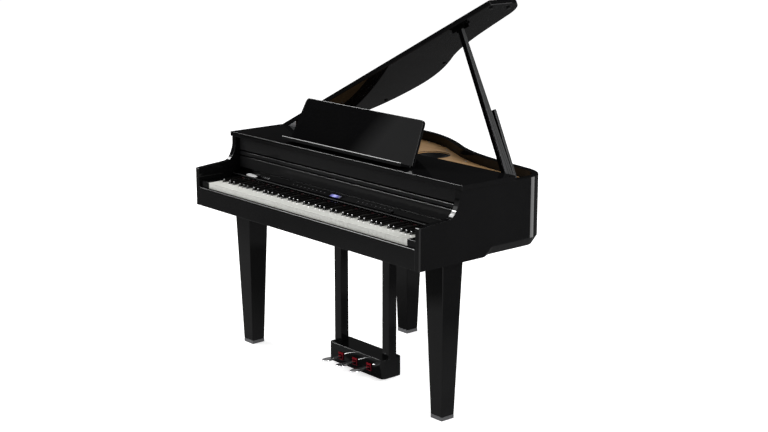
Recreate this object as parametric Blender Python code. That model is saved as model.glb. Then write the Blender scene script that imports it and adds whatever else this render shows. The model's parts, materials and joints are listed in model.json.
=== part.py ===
"""A digital grand piano with its lid propped open.

Metres, +Z up, the player sits on the -Y side and bass keys are at -X. The pieces are laid out in
a frame whose y = 0 is the front of the arms, and one empty then centres the piano over the origin.
"""

import math

import bmesh
import bpy
from mathutils import Matrix, Vector

# Clearance between pieces that touch, and round pieces that move
GAP = 0.0003
SLIDE_CLEARANCE = 0.0015

# Edge breaks
FINE_EDGE = 0.001
CASE_EDGE = 0.0015
BOARD_EDGE = 0.003

# Keyboard: the notes from the first key, and how far each sharp sits off the line between naturals
OCTAVE = ("A", "As", "B", "C", "Cs", "D", "Ds", "E", "F", "Fs", "G", "Gs")
SHARP_OFFSETS = {"Cs": -0.002, "Ds": 0.002, "Fs": -0.003, "Gs": 0.0, "As": 0.003}
KEYS = 88
FIRST_SINGLE = 39
LAST_SINGLE = 50
NATURALS = 52
KEY_PITCH = 0.0235
KEY_GAP = 0.001
NATURAL_LENGTH = 0.150
NATURAL_HEIGHT = 0.024
KEY_RISE = 0.1015
KEY_TAIL = 0.0775
COMB_BAR = 0.009
SHARP_LENGTH = 0.095
SHARP_WIDTH = 0.011
SHARP_RISE = 0.012
SHARP_SLOPE = 0.006
NOTCH_CLEARANCE = 0.002
SLIP_CLEARANCE = 0.002
PANEL_TO_SHARP = 0.003
CAP_INSET = 0.0002
FRAME_THICK = 0.0155
FRAME_SETBACK = 0.024
RIDGE_DEPTH = 0.024
RIDGE_DROP = 0.009

# Case
BLOCK_WIDTH = 0.053
BLOCK_RISE = 0.0025
WALL = 0.024
CASE_BOTTOM = 0.612
CASE_HEIGHT = 0.2625
KEYBED_THICK = 0.022
BOTTOM_THICK = 0.016
SLIP_THICK = 0.010
SLIP_HEIGHT = 0.077
ARM_RISE = 0.155
ARM_SLOPE = math.radians(4.4)
ARM_LENGTH = 0.142
ARM_ROUND = 0.004
SCROLL_DEPTH = 0.045
CHAMFER_IN = 0.020
CHAMFER_UP = 0.033
CHAMFER_START = 0.303
CHAMFER_RUN = 0.053
SMALLEST_EDGE = 0.0005

# Plan of the case behind the straight sides
RIGHT_CURVE_START = 0.548
LEFT_CURVE_START = 0.700
CORNER_END = Vector((0.580, 0.6515))
BEND = Vector((0.075, 0.780))
TAIL = Vector((-0.290, 0.892))
JOINT_LAND = 0.003

# How far each end of those curves runs on along its own direction
RIGHT_RUN = Vector((0.0, 0.052))
CORNER_RUN = Vector((-0.060, 0.012))
CORNER_RUN_ON = Vector((-0.170, 0.025))
BEND_RUN = Vector((-0.165, 0.092))
BEND_RUN_ON = Vector((-0.115, 0.064))
TAIL_RUN = Vector((-0.130, 0.0))
TAIL_RUN_ON = Vector((-0.190, 0.0))
LEFT_RUN = Vector((0.0, -0.140))

# The scroll between an arm and the case's top, as shares of its depth and of its height
SCROLL_FLAT = 0.4
SCROLL_TURN = (0.8, 0.23)
SCROLL_END_DROP = 0.3

# Front top board and the panels under it
BOARD_DEPTH = 0.265
BOARD_THICK = 0.019
BOARD_OVERHANG = 0.012
FASCIA_SETBACK = 0.020
FASCIA_THICK = 0.018
COVER_SLOT = 0.027
LOWER_FASCIA_HEIGHT = 0.0465
PANEL_TO_FASCIA = 0.003
PANEL_FRONT_RISE = 0.0135
PANEL_REAR_RISE = 0.030
PANEL_BOTTOM_GAP = 0.006

# Sliding key cover
GRIP_HEIGHT = 0.016
GRIP_DEPTH = 0.012
GRIP_CLEARANCE = 0.005
COVER_THICK = 0.010
COVER_LENGTH = 0.182

# Controls on the panel
DISPLAY_SIZE = (0.062, 0.014, 0.002)
DISPLAY_EDGE = 0.0004
DISPLAY_X = 0.0
SLIDER_SIZE = (0.026, 0.012, 0.005)
SLIDER_X = -0.503
BUTTON_RADIUS = 0.006
BUTTON_HEIGHT = 0.003
BUTTON_X = 0.330
CONTROL_CLEARANCE = 0.0006
INLET_SIZE = (0.050, 0.034, 0.030)
INLET_PLACE = (0.300, 0.560)
INLET_SOCKET = (0.028, 0.020, 0.020)

# Music rest
REST_LEAN = math.radians(25)
REST_LENGTH = 0.177
REST_THICK = 0.014
REST_HALF_BOTTOM = 0.368
REST_HALF_TOP = 0.350
REST_CORNER = 0.020
REST_SETBACK = 0.0777
REST_PIVOT_RISE = 0.0038
REST_BELOW_PIVOT = 0.0025
STAY_LINE = 0.0032
STAY_REACH = 0.100
STAY_THICK = 0.005
STAY_WIDTH = 0.110
LEDGE_DEPTH = 0.050
LEDGE_THICK = 0.007
LEDGE_TILT = math.radians(18)
LEDGE_HALF = 0.360
LIP_HEIGHT = 0.004
HINGE_ROD_HALF = 0.340
HINGE_ROD_RADIUS = 0.0024

# Lid and its props
LID_THICK = 0.019
LID_OVERHANG = 0.014
LID_OPEN = math.radians(26.3)
LID_AXIS_OUT = 0.0035
LID_AXIS_DROP = 0.0025
BARREL_RADIUS = 0.0026
BARREL_SETBACK = 0.018
BARREL_LENGTH = 0.220
LEAF_HEIGHT = 0.015
LEAF_THICK = 0.0012
PROP_INSET = 0.030
PROP_DROP = 0.0165
PROP_LEAN = math.radians(25.5)
PROP_SETBACK = 0.014
PROP_THICK = 0.019
LONG_PROP_WIDE = 0.041
LONG_PROP_NARROW = 0.016
SHORT_PROP_WIDTH = 0.012
SHORT_PROP_LENGTH = 0.270
SOCKET_SIZE = (0.070, 0.044, 0.004)
SOCKET_CHEEK = 0.014
BRACKET_WALL = 0.003
BRACKET_HEIGHT = 0.030

# Soundboard, speakers and electronics
SOUNDBOARD_DROP = 0.0365
SOUNDBOARD_THICK = 0.006
SOUNDBOARD_LAP = 0.027
SPEAKER_HOLE = 0.070
SPEAKER_FLANGE = 0.008
SPEAKER_FLANGE_THICK = 0.004
SPEAKER_DROP = 0.002
SPEAKER_BASKET = 0.042
SPEAKER_DEPTH = 0.070
RIGHT_SPEAKER = (0.015, 0.672)
LEFT_SPEAKER = (-0.360, 0.660)
AMPLIFIER_SIZE = (0.260, 0.160, 0.026)
AMPLIFIER_PLACE = (-0.080, 0.560)
AMPLIFIER_FINS = 6

# Legs
LEG_INSET = 0.100
LEG_Y = 0.207
REAR_LEG = (-0.270, 0.796)
LEG_FOOT = 0.061
LEG_HEAD = 0.098
LEG_PLATE = 0.118
LEG_PLATE_THICK = 0.012
FERRULE_HEIGHT = 0.015

# Lyre and pedals
COLUMN_X = 0.148
COLUMN_WIDTH = 0.041
COLUMN_DEPTH = 0.040
COLUMN_SETBACK = 0.032
PEDAL_BOX_HALF = 0.168
PEDAL_BOX_FRONT = 0.278
PEDAL_BOX_DEPTH = 0.102
PEDAL_BOX_BOTTOM = 0.013
PEDAL_BOX_HEIGHT = 0.079
PEDAL_BOX_ROUND = 0.018
PEDAL_PITCH = 0.087
PEDAL_REACH = 0.095
PEDAL_AXIS_DEPTH = 0.072
PEDAL_RISE = 0.039
PEDAL_THICK = 0.007
PEDAL_ARM = 0.015
PEDAL_SPOON = 0.038
PEDAL_DIP = math.radians(4.9)
SLOT_CLEARANCE = 0.003

# Finishes: colour, roughness, metallic
POLISHED_BLACK = ((0.010, 0.010, 0.011), 0.08, 0.0)
SATIN_BLACK = ((0.020, 0.020, 0.021), 0.45, 0.0)
KEY_WHITE = ((0.80, 0.79, 0.75), 0.28, 0.0)
KEY_BLACK = ((0.015, 0.015, 0.016), 0.35, 0.0)
SPRUCE = ((0.56, 0.36, 0.18), 0.45, 0.0)
BARE_BOARD = ((0.42, 0.32, 0.21), 0.70, 0.0)
BRIGHT_METAL = ((0.62, 0.62, 0.62), 0.18, 1.0)
DARK_METAL = ((0.055, 0.055, 0.058), 0.40, 0.6)
GLOWING_GLASS = ((0.20, 0.22, 0.45), 0.10, 0.0)

# Sizes that follow from the ones above
KEYBOARD_WIDTH = NATURALS * KEY_PITCH
INNER_HALF = KEYBOARD_WIDTH / 2 + BLOCK_WIDTH
CASE_HALF = INNER_HALF + WALL
CASE_TOP = CASE_BOTTOM + CASE_HEIGHT
KEY_TOP = CASE_BOTTOM + KEY_RISE
ARM_FRONT_TOP = CASE_BOTTOM + ARM_RISE
KEY_FRONT = SLIP_THICK + SLIP_CLEARANCE
NATURAL_REAR = KEY_FRONT + NATURAL_LENGTH
KEY_REAR = NATURAL_REAR + KEY_TAIL
PANEL_FRONT = NATURAL_REAR + PANEL_TO_SHARP
SHARP_REAR = NATURAL_REAR - PANEL_TO_SHARP
SHARP_FRONT = SHARP_REAR - SHARP_LENGTH
KEY_BOTTOM = KEY_TOP - NATURAL_HEIGHT
KEYBED_TOP = CASE_BOTTOM + KEYBED_THICK
PANEL_FRONT_TOP = KEY_TOP + PANEL_FRONT_RISE
PANEL_REAR_TOP = KEY_TOP + PANEL_REAR_RISE
LOWER_FASCIA_BOTTOM = PANEL_REAR_TOP + PANEL_TO_FASCIA
LOWER_FASCIA_TOP = LOWER_FASCIA_BOTTOM + LOWER_FASCIA_HEIGHT
UPPER_FASCIA_BOTTOM = LOWER_FASCIA_TOP + COVER_SLOT
GRIP_BOTTOM = LOWER_FASCIA_TOP + GRIP_CLEARANCE
BOARD_BOTTOM = CASE_TOP + GAP
BOARD_TOP = BOARD_BOTTOM + BOARD_THICK
SCROLL_END = ARM_LENGTH + SCROLL_DEPTH
BOARD_FRONT = SCROLL_END
BOARD_REAR = BOARD_FRONT + BOARD_DEPTH
FASCIA_FRONT = BOARD_FRONT + FASCIA_SETBACK
FILL_HALF = INNER_HALF - GAP
LID_UNDERSIDE = CASE_TOP + 2 * GAP
LID_FRONT = BOARD_REAR + SLIDE_CLEARANCE
LID_AXIS = Vector((-CASE_HALF - LID_AXIS_OUT, 0.0, CASE_TOP - LID_AXIS_DROP))
PROP_PIVOT = (INNER_HALF - PROP_INSET, CASE_TOP - PROP_DROP)
PROP_FRONT = BOARD_REAR + PROP_SETBACK
SOUNDBOARD_TOP = CASE_TOP - SOUNDBOARD_DROP
SOUNDBOARD_BOTTOM = SOUNDBOARD_TOP - SOUNDBOARD_THICK
LEG_X = CASE_HALF - LEG_INSET
PEDAL_BOX_REAR = PEDAL_BOX_FRONT + PEDAL_BOX_DEPTH
PEDAL_BOX_TOP = PEDAL_BOX_BOTTOM + PEDAL_BOX_HEIGHT
PEDAL_TIP = PEDAL_BOX_FRONT - PEDAL_REACH
PEDAL_AXIS = PEDAL_BOX_FRONT + PEDAL_AXIS_DEPTH
PEDAL_TOP = PEDAL_BOX_BOTTOM + PEDAL_RISE
PIANO_DEPTH = TAIL.y + LID_OVERHANG

for old in list(bpy.data.objects):
    bpy.data.objects.remove(old, do_unlink=True)


def empty(name, place, parent=None, turn=(0.0, 0.0, 0.0)):
    """An axis or a frame that pieces hang from. It is no piece itself."""
    frame = bpy.data.objects.new(name, None)
    frame.location = place
    frame.rotation_euler = turn
    frame.parent = parent
    bpy.context.scene.collection.objects.link(frame)
    return frame


PIANO = empty("piano_frame", (0.0, -PIANO_DEPTH / 2, 0.0))


def axis(name, place, turn=(0.0, 0.0, 0.0)):
    """The axis of a joint, placed in the piano's own frame."""
    return empty(name, place, PIANO, turn)


def solid(name, mesh, finish, hinge=None):
    """Turns a bmesh into a named piece. A moving piece hangs from the empty on its axis."""
    bmesh.ops.recalc_face_normals(mesh, faces=mesh.faces)
    if hinge is not None:
        bmesh.ops.translate(mesh, verts=mesh.verts, vec=-Vector(hinge.location))
    data = bpy.data.meshes.new(name)
    mesh.to_mesh(data)
    mesh.free()
    piece = bpy.data.objects.new(name, data)
    bpy.context.scene.collection.objects.link(piece)
    piece.parent = hinge or PIANO
    colour, roughness, metallic = finish
    material = bpy.data.materials.new(name)
    material.use_nodes = True
    shader = material.node_tree.nodes["Principled BSDF"]
    shader.inputs["Base Color"].default_value = (*colour, 1.0)
    shader.inputs["Roughness"].default_value = roughness
    shader.inputs["Metallic"].default_value = metallic
    data.materials.append(material)
    return piece


def extruded(points, along):
    """A closed bmesh: the flat outline through the points, pushed along a vector."""
    mesh = bmesh.new()
    face = mesh.faces.new([mesh.verts.new(point) for point in points])
    result = bmesh.ops.extrude_face_region(mesh, geom=[face])
    moved = [item for item in result["geom"] if isinstance(item, bmesh.types.BMVert)]
    bmesh.ops.translate(mesh, verts=moved, vec=along)
    return mesh


def plan_solid(name, outline, bottom, top, finish, hinge=None):
    """A board with a plan outline of (x, y) points."""
    mesh = extruded([(x, y, bottom) for x, y in outline], (0.0, 0.0, top - bottom))
    return solid(name, mesh, finish, hinge)


def side_solid(name, profile, left, right, finish, hinge=None):
    """A rail along X with a side profile of (y, z) points."""
    mesh = extruded([(left, y, z) for y, z in profile], (right - left, 0.0, 0.0))
    return solid(name, mesh, finish, hinge)


def box_mesh(low, high):
    """A plain block between two corners."""
    outline = [(low[0], low[1]), (high[0], low[1]), (high[0], high[1]), (low[0], high[1])]
    return extruded([(x, y, low[2]) for x, y in outline], (0.0, 0.0, high[2] - low[2]))


def soften(piece, width, segments=1):
    """Breaks the edges of a piece."""
    bevel = piece.modifiers.new("soft_edges", "BEVEL")
    bevel.width = width
    bevel.segments = segments
    bevel.limit_method = "ANGLE"
    bevel.angle_limit = math.radians(40)


def lofted(rings):
    """A closed bmesh through rings of equal length, each a list of points."""
    mesh = bmesh.new()
    loops = [[mesh.verts.new(point) for point in ring] for ring in rings]
    mesh.faces.new(loops[0])
    mesh.faces.new(loops[-1])
    for lower, upper in zip(loops, loops[1:]):
        for index in range(len(lower)):
            following = (index + 1) % len(lower)
            mesh.faces.new((lower[index], lower[following], upper[following], upper[index]))
    return mesh


def square(centre, half, height):
    """The corners of a level square, or of a rectangle when half is a pair."""
    wide, deep = half if isinstance(half, tuple) else (half, half)
    x, y = centre
    return [(x - wide, y - deep, height), (x + wide, y - deep, height),
            (x + wide, y + deep, height), (x - wide, y + deep, height)]


def cutter(name, mesh):
    """A hidden solid that another piece is cut with or joined to."""
    guide = solid(name, mesh, SATIN_BLACK)
    guide.hide_render = True
    guide.display_type = "WIRE"
    return guide


def combine(piece, other, operation):
    """Joins another solid to a piece, or cuts it away."""
    boolean = piece.modifiers.new(other.name, "BOOLEAN")
    boolean.operation = operation
    boolean.solver = "EXACT"
    boolean.object = other


def curve(start, first, second, end, steps):
    """Points along a cubic curve, without its last point."""
    points = []
    for step in range(steps):
        t = step / steps
        u = 1 - t
        points.append(u ** 3 * start + 3 * u * u * t * first + 3 * u * t * t * second + t ** 3 * end)
    return points


def arc(centre, radius, start, stop, steps):
    """Points on a circle in a plane, from one angle in degrees to another."""
    points = []
    for step in range(steps + 1):
        angle = math.radians(start + (stop - start) * step / steps)
        points.append((centre[0] + radius * math.cos(angle), centre[1] + radius * math.sin(angle)))
    return points


def plan_path(grow, right_start, left_end):
    """The case's plan from its right side round the tail to its left side, grown outward."""
    right = Vector((CASE_HALF, RIGHT_CURVE_START))
    left = Vector((-CASE_HALF, LEFT_CURVE_START))
    path = [Vector((CASE_HALF, right_start))]
    path += curve(right, right + RIGHT_RUN, CORNER_END - CORNER_RUN, CORNER_END, 6)
    path += curve(CORNER_END, CORNER_END + CORNER_RUN_ON, BEND - BEND_RUN, BEND, 7)
    path += curve(BEND, BEND + BEND_RUN_ON, TAIL - TAIL_RUN, TAIL, 6)
    path += curve(TAIL, TAIL + TAIL_RUN_ON, left - LEFT_RUN, left, 10)
    path += [left, Vector((-CASE_HALF, left_end))]
    runs = [(after - before).normalized() for before, after in zip(path, path[1:])]
    mean_runs = [(before + after).normalized() for before, after in zip(runs, runs[1:])]
    runs = [runs[0]] + mean_runs + [runs[-1]]
    return [point + grow * Vector((run.y, -run.x)) for point, run in zip(path, runs)]


def arm_top(y):
    """Height of an arm's sloping top at a distance from its front."""
    return ARM_FRONT_TOP + y * math.tan(ARM_SLOPE)


def side_stations():
    """Where the outline of a side panel changes: distance, top height and share of the chamfer."""
    start = Vector((ARM_LENGTH, arm_top(ARM_LENGTH)))
    climb = CASE_TOP - start.y
    end = Vector((SCROLL_END - SMALLEST_EDGE, CASE_TOP - SCROLL_END_DROP * climb))
    first = start + SCROLL_FLAT * SCROLL_DEPTH * Vector((1.0, math.tan(ARM_SLOPE)))
    second = start + Vector((SCROLL_TURN[0] * SCROLL_DEPTH, SCROLL_TURN[1] * climb))
    stations = [(0.0, ARM_FRONT_TOP - ARM_ROUND, 0.0), (ARM_ROUND, arm_top(ARM_ROUND), 0.0)]
    stations += [(point.x, point.y, 0.0) for point in curve(start, first, second, end, 6)]
    stations += [(end.x, end.y, 0.0), (SCROLL_END, CASE_TOP, 0.0), (CHAMFER_START, CASE_TOP, 0.0)]
    return stations + [(CHAMFER_START + CHAMFER_RUN, CASE_TOP, 1.0)]


def wall_section(top, share):
    """A wall's section as (outward, height) pairs, with its lower outer edge chamfered."""
    inset = max(CHAMFER_IN * share, SMALLEST_EDGE)
    rise = max(CHAMFER_UP * share, SMALLEST_EDGE)
    return [(-WALL, CASE_BOTTOM), (-inset, CASE_BOTTOM), (0.0, CASE_BOTTOM + rise), (0.0, top),
            (-WALL, top)]


def side_panel(name, side, end):
    """One side of the case with its arm, scroll and stopped chamfer."""
    rings = []
    for y, top, share in side_stations() + [(end, CASE_TOP, 1.0)]:
        rings.append([(side * (CASE_HALF + out), y, z) for out, z in wall_section(top, share)])
    return solid(name, lofted(rings), POLISHED_BLACK)


def curved_rim():
    """The bent side and the tail in one piece, between the two straight sides."""
    spans = (RIGHT_CURVE_START - JOINT_LAND + GAP, LEFT_CURVE_START - JOINT_LAND + GAP)
    paths = {out: plan_path(out, *spans) for out in (-WALL, -CHAMFER_IN, 0.0)}
    rings = []
    for index in range(len(paths[0.0])):
        rings.append([(*paths[out][index], z) for out, z in wall_section(CASE_TOP, 1.0)])
    return solid("curved_rim", lofted(rings), POLISHED_BLACK)


def inside_plan(front):
    """The plan of a board that fills the case inside its walls, behind a front edge."""
    return plan_path(-WALL - GAP, front, front)


def build_case():
    side_panel("right_side", 1, RIGHT_CURVE_START - JOINT_LAND)
    side_panel("left_side", -1, LEFT_CURVE_START - JOINT_LAND)
    curved_rim()
    split = BOARD_REAR
    keybed = box_mesh((-FILL_HALF, SLIP_THICK + GAP, CASE_BOTTOM), (FILL_HALF, split, KEYBED_TOP))
    solid("keybed", keybed, BARE_BOARD)
    bottom = inside_plan(split + GAP)
    plan_solid("bottom_board", bottom, CASE_BOTTOM, CASE_BOTTOM + BOTTOM_THICK, BARE_BOARD)
    slip = box_mesh((-FILL_HALF, 0.0, CASE_BOTTOM), (FILL_HALF, SLIP_THICK, CASE_BOTTOM + SLIP_HEIGHT))
    soften(solid("key_slip", slip, POLISHED_BLACK), CASE_EDGE)
    for name, side in (("left_key_block", -1), ("right_key_block", 1)):
        edges = sorted((side * (KEYBOARD_WIDTH / 2 + GAP), side * FILL_HALF))
        block = box_mesh((edges[0], SLIP_THICK + GAP, KEYBED_TOP + GAP),
                         (edges[1], PANEL_FRONT - GAP, KEY_TOP + BLOCK_RISE))
        soften(solid(name, block, POLISHED_BLACK), CASE_EDGE)
    edge = CASE_HALF + BOARD_OVERHANG
    board = box_mesh((-edge, BOARD_FRONT, BOARD_BOTTOM), (edge, BOARD_REAR, BOARD_TOP))
    soften(solid("top_board", board, POLISHED_BLACK), BOARD_EDGE, 2)
    rear = FASCIA_FRONT + FASCIA_THICK
    upper = box_mesh((-FILL_HALF, FASCIA_FRONT, UPPER_FASCIA_BOTTOM), (FILL_HALF, rear, CASE_TOP))
    soften(solid("upper_fascia", upper, POLISHED_BLACK), CASE_EDGE)
    lower = box_mesh((-FILL_HALF, FASCIA_FRONT, LOWER_FASCIA_BOTTOM), (FILL_HALF, rear, LOWER_FASCIA_TOP))
    soften(solid("lower_fascia", lower, POLISHED_BLACK), CASE_EDGE)


def panel_point(x):
    """Where a control sits, in the middle of the control panel's sloping face."""
    return Vector((x, (PANEL_FRONT + FASCIA_FRONT) / 2, (PANEL_FRONT_TOP + PANEL_REAR_TOP) / 2))


def on_panel(mesh, x):
    """Lays a mesh that was built flat round the origin onto the control panel."""
    slope = math.atan2(PANEL_REAR_TOP - PANEL_FRONT_TOP, FASCIA_FRONT - PANEL_FRONT)
    turn = Matrix.Rotation(slope, 3, "X")
    bmesh.ops.rotate(mesh, verts=mesh.verts, cent=(0.0, 0.0, 0.0), matrix=turn)
    bmesh.ops.translate(mesh, verts=mesh.verts, vec=panel_point(x))
    return mesh


def build_controls():
    bottom = KEY_TOP + PANEL_BOTTOM_GAP
    rear = FASCIA_FRONT + FASCIA_THICK
    under_fascia = LOWER_FASCIA_BOTTOM - GAP
    profile = [(PANEL_FRONT, bottom), (rear, bottom), (rear, under_fascia), (FASCIA_FRONT, under_fascia),
               (FASCIA_FRONT, PANEL_REAR_TOP), (PANEL_FRONT, PANEL_FRONT_TOP)]
    side_solid("control_panel", profile, -FILL_HALF, FILL_HALF, POLISHED_BLACK)
    wide, deep, high = DISPLAY_SIZE
    window = box_mesh((-wide / 2, -deep / 2, GAP), (wide / 2, deep / 2, GAP + high))
    soften(solid("display_window", on_panel(window, DISPLAY_X), GLOWING_GLASS), DISPLAY_EDGE)
    wide, deep, high = SLIDER_SIZE
    low = CONTROL_CLEARANCE
    cap = box_mesh((-wide / 2, -deep / 2, low), (wide / 2, deep / 2, low + high))
    slide = axis("volume_axis", panel_point(SLIDER_X))
    soften(solid("volume_slider", on_panel(cap, SLIDER_X), BRIGHT_METAL, slide), CASE_EDGE)
    rim = [(x, y, BUTTON_HEIGHT / 2) for x, y in arc((0.0, 0.0), BUTTON_RADIUS, 0, 337.5, 15)]
    button = extruded(rim, (0.0, 0.0, BUTTON_HEIGHT))
    press = axis("power_axis", panel_point(BUTTON_X))
    solid("power_button", on_panel(button, BUTTON_X), SATIN_BLACK, press)
    wide, deep, high = INLET_SIZE
    x, y = INLET_PLACE
    top = CASE_BOTTOM - GAP
    body = box_mesh((x - wide / 2, y - deep / 2, top - high), (x + wide / 2, y + deep / 2, top))
    inlet = solid("power_inlet", body, SATIN_BLACK)
    hole_wide, hole_high, hole_deep = INLET_SOCKET
    middle = top - high / 2
    mouth = box_mesh((x - hole_wide / 2, y + deep / 2 - hole_deep, middle - hole_high / 2),
                     (x + hole_wide / 2, y + deep / 2 + GAP, middle + hole_high / 2))
    combine(inlet, cutter("inlet_socket", mouth), "DIFFERENCE")


def build_cover():
    """The cover lies stored behind the slot between the fascias and slides forward over the keys."""
    rail = axis("cover_axis", (0.0, FASCIA_FRONT, GRIP_BOTTOM))
    half = INNER_HALF - SLIDE_CLEARANCE
    high = GRIP_BOTTOM + GRIP_HEIGHT
    grip = box_mesh((-half, FASCIA_FRONT, GRIP_BOTTOM), (half, FASCIA_FRONT + GRIP_DEPTH, high))
    soften(solid("cover_grip", grip, POLISHED_BLACK, rail), BOARD_EDGE, 2)
    front = FASCIA_FRONT + GRIP_DEPTH + GAP
    low = GRIP_BOTTOM + (GRIP_HEIGHT - COVER_THICK) / 2
    rise = COVER_LENGTH * math.tan(ARM_SLOPE)
    profile = [(front, low), (front + COVER_LENGTH, low + rise),
               (front + COVER_LENGTH, low + rise + COVER_THICK), (front, low + COVER_THICK)]
    side_solid("key_cover", profile, -half, half, SATIN_BLACK, rail)


def keyboard():
    """Every key from the bass: its note, and the left and right of its front and of its tail."""
    keys = []
    natural = 0
    for number in range(KEYS):
        note = OCTAVE[number % len(OCTAVE)]
        edge = natural * KEY_PITCH - KEYBOARD_WIDTH / 2
        if note in SHARP_OFFSETS:
            centre = edge + SHARP_OFFSETS[note]
            keys.append([note, centre - SHARP_WIDTH / 2, centre + SHARP_WIDTH / 2])
        else:
            keys.append([note, edge + KEY_GAP / 2, edge + KEY_PITCH - KEY_GAP / 2])
            natural += 1
    return keys


def finger(keys, number, rear):
    """The plan of one key from its tail round its front."""
    note, left, right = keys[number]
    if note in SHARP_OFFSETS:
        return [(left, rear), (left, SHARP_FRONT), (right, SHARP_FRONT), (right, rear)]
    tail_left, tail_right = left, right
    if number > 0 and keys[number - 1][0] in SHARP_OFFSETS:
        tail_left = keys[number - 1][2] + KEY_GAP
    if number < KEYS - 1 and keys[number + 1][0] in SHARP_OFFSETS:
        tail_right = keys[number + 1][1] - KEY_GAP
    notch = SHARP_FRONT - NOTCH_CLEARANCE
    points = [(tail_left, rear)]
    if tail_left > left:
        points += [(tail_left, notch), (left, notch)]
    points += [(left, KEY_FRONT), (right, KEY_FRONT)]
    if tail_right < right:
        points += [(right, notch), (tail_right, notch)]
    return points + [(tail_right, rear)]


def sharp_profile(front, bottom, rear):
    """Side profile of a sharp: its raised part is sloped at the front and ends before the panel."""
    top = KEY_TOP + SHARP_RISE
    return [(front, bottom), (rear, bottom), (rear, KEY_TOP), (SHARP_REAR + GAP, KEY_TOP),
            (SHARP_REAR, top), (front + SHARP_SLOPE, top), (front, KEY_TOP)]


def key_comb(name, keys, first, last):
    """A run of keys joined by a bar at the pivot, for the keys that have no joint of their own."""
    run = range(first, last + 1)
    fingers = [point for number in run for point in finger(keys, number, KEY_REAR - COMB_BAR)]
    outline = [(fingers[0][0], KEY_REAR)] + fingers + [(fingers[-1][0], KEY_REAR)]
    pivot = axis(name + "_axis", ((keys[first][1] + keys[last][2]) / 2, KEY_REAR, KEY_BOTTOM))
    comb = plan_solid(name, outline, KEY_BOTTOM, KEY_TOP, KEY_WHITE, pivot)
    profile = sharp_profile(SHARP_FRONT + CAP_INSET, KEY_TOP - SHARP_RISE / 2, SHARP_REAR + 2 * GAP)
    caps = bmesh.new()
    for note, left, right in (keys[number] for number in run):
        if note in SHARP_OFFSETS:
            face = caps.faces.new([caps.verts.new((left + CAP_INSET, y, z)) for y, z in profile])
            result = bmesh.ops.extrude_face_region(caps, geom=[face])
            moved = [item for item in result["geom"] if isinstance(item, bmesh.types.BMVert)]
            bmesh.ops.translate(caps, verts=moved, vec=(right - left - 2 * CAP_INSET, 0.0, 0.0))
    combine(comb, cutter(name + "_caps", caps), "UNION")


def build_keys():
    keys = keyboard()
    key_comb("bass_keys", keys, 0, FIRST_SINGLE - 1)
    key_comb("treble_keys", keys, LAST_SINGLE + 1, KEYS - 1)
    for number in range(FIRST_SINGLE, LAST_SINGLE + 1):
        note, left, right = keys[number]
        pivot = axis("key_" + note + "_axis", ((left + right) / 2, KEY_REAR, KEY_BOTTOM))
        if note in SHARP_OFFSETS:
            profile = sharp_profile(SHARP_FRONT, KEY_BOTTOM, KEY_REAR)
            side_solid("key_" + note, profile, left, right, KEY_BLACK, pivot)
        else:
            outline = finger(keys, number, KEY_REAR)
            plan_solid("key_" + note, outline, KEY_BOTTOM, KEY_TOP, KEY_WHITE, pivot)
    floor = KEYBED_TOP + GAP
    deck = floor + FRAME_THICK
    front = KEY_FRONT + FRAME_SETBACK
    ridge = KEY_REAR + KEY_GAP
    rear = ridge + RIDGE_DEPTH
    top = KEY_TOP - RIDGE_DROP
    profile = [(front, floor), (rear, floor), (rear, deck), (ridge + RIDGE_DEPTH / 2, top),
               (ridge, top), (ridge, deck), (front, deck)]
    side_solid("key_frame", profile, -KEYBOARD_WIDTH / 2, KEYBOARD_WIDTH / 2, BARE_BOARD)


def rest_line():
    """The music rest's pivot, and the directions up along the rest and forward out of it, as (y, z)."""
    pivot = Vector((BOARD_FRONT + REST_SETBACK, BOARD_TOP + REST_PIVOT_RISE))
    up = Vector((math.sin(REST_LEAN), math.cos(REST_LEAN)))
    forward = Vector((-math.cos(REST_LEAN), math.sin(REST_LEAN)))
    return pivot, up, forward


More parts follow.
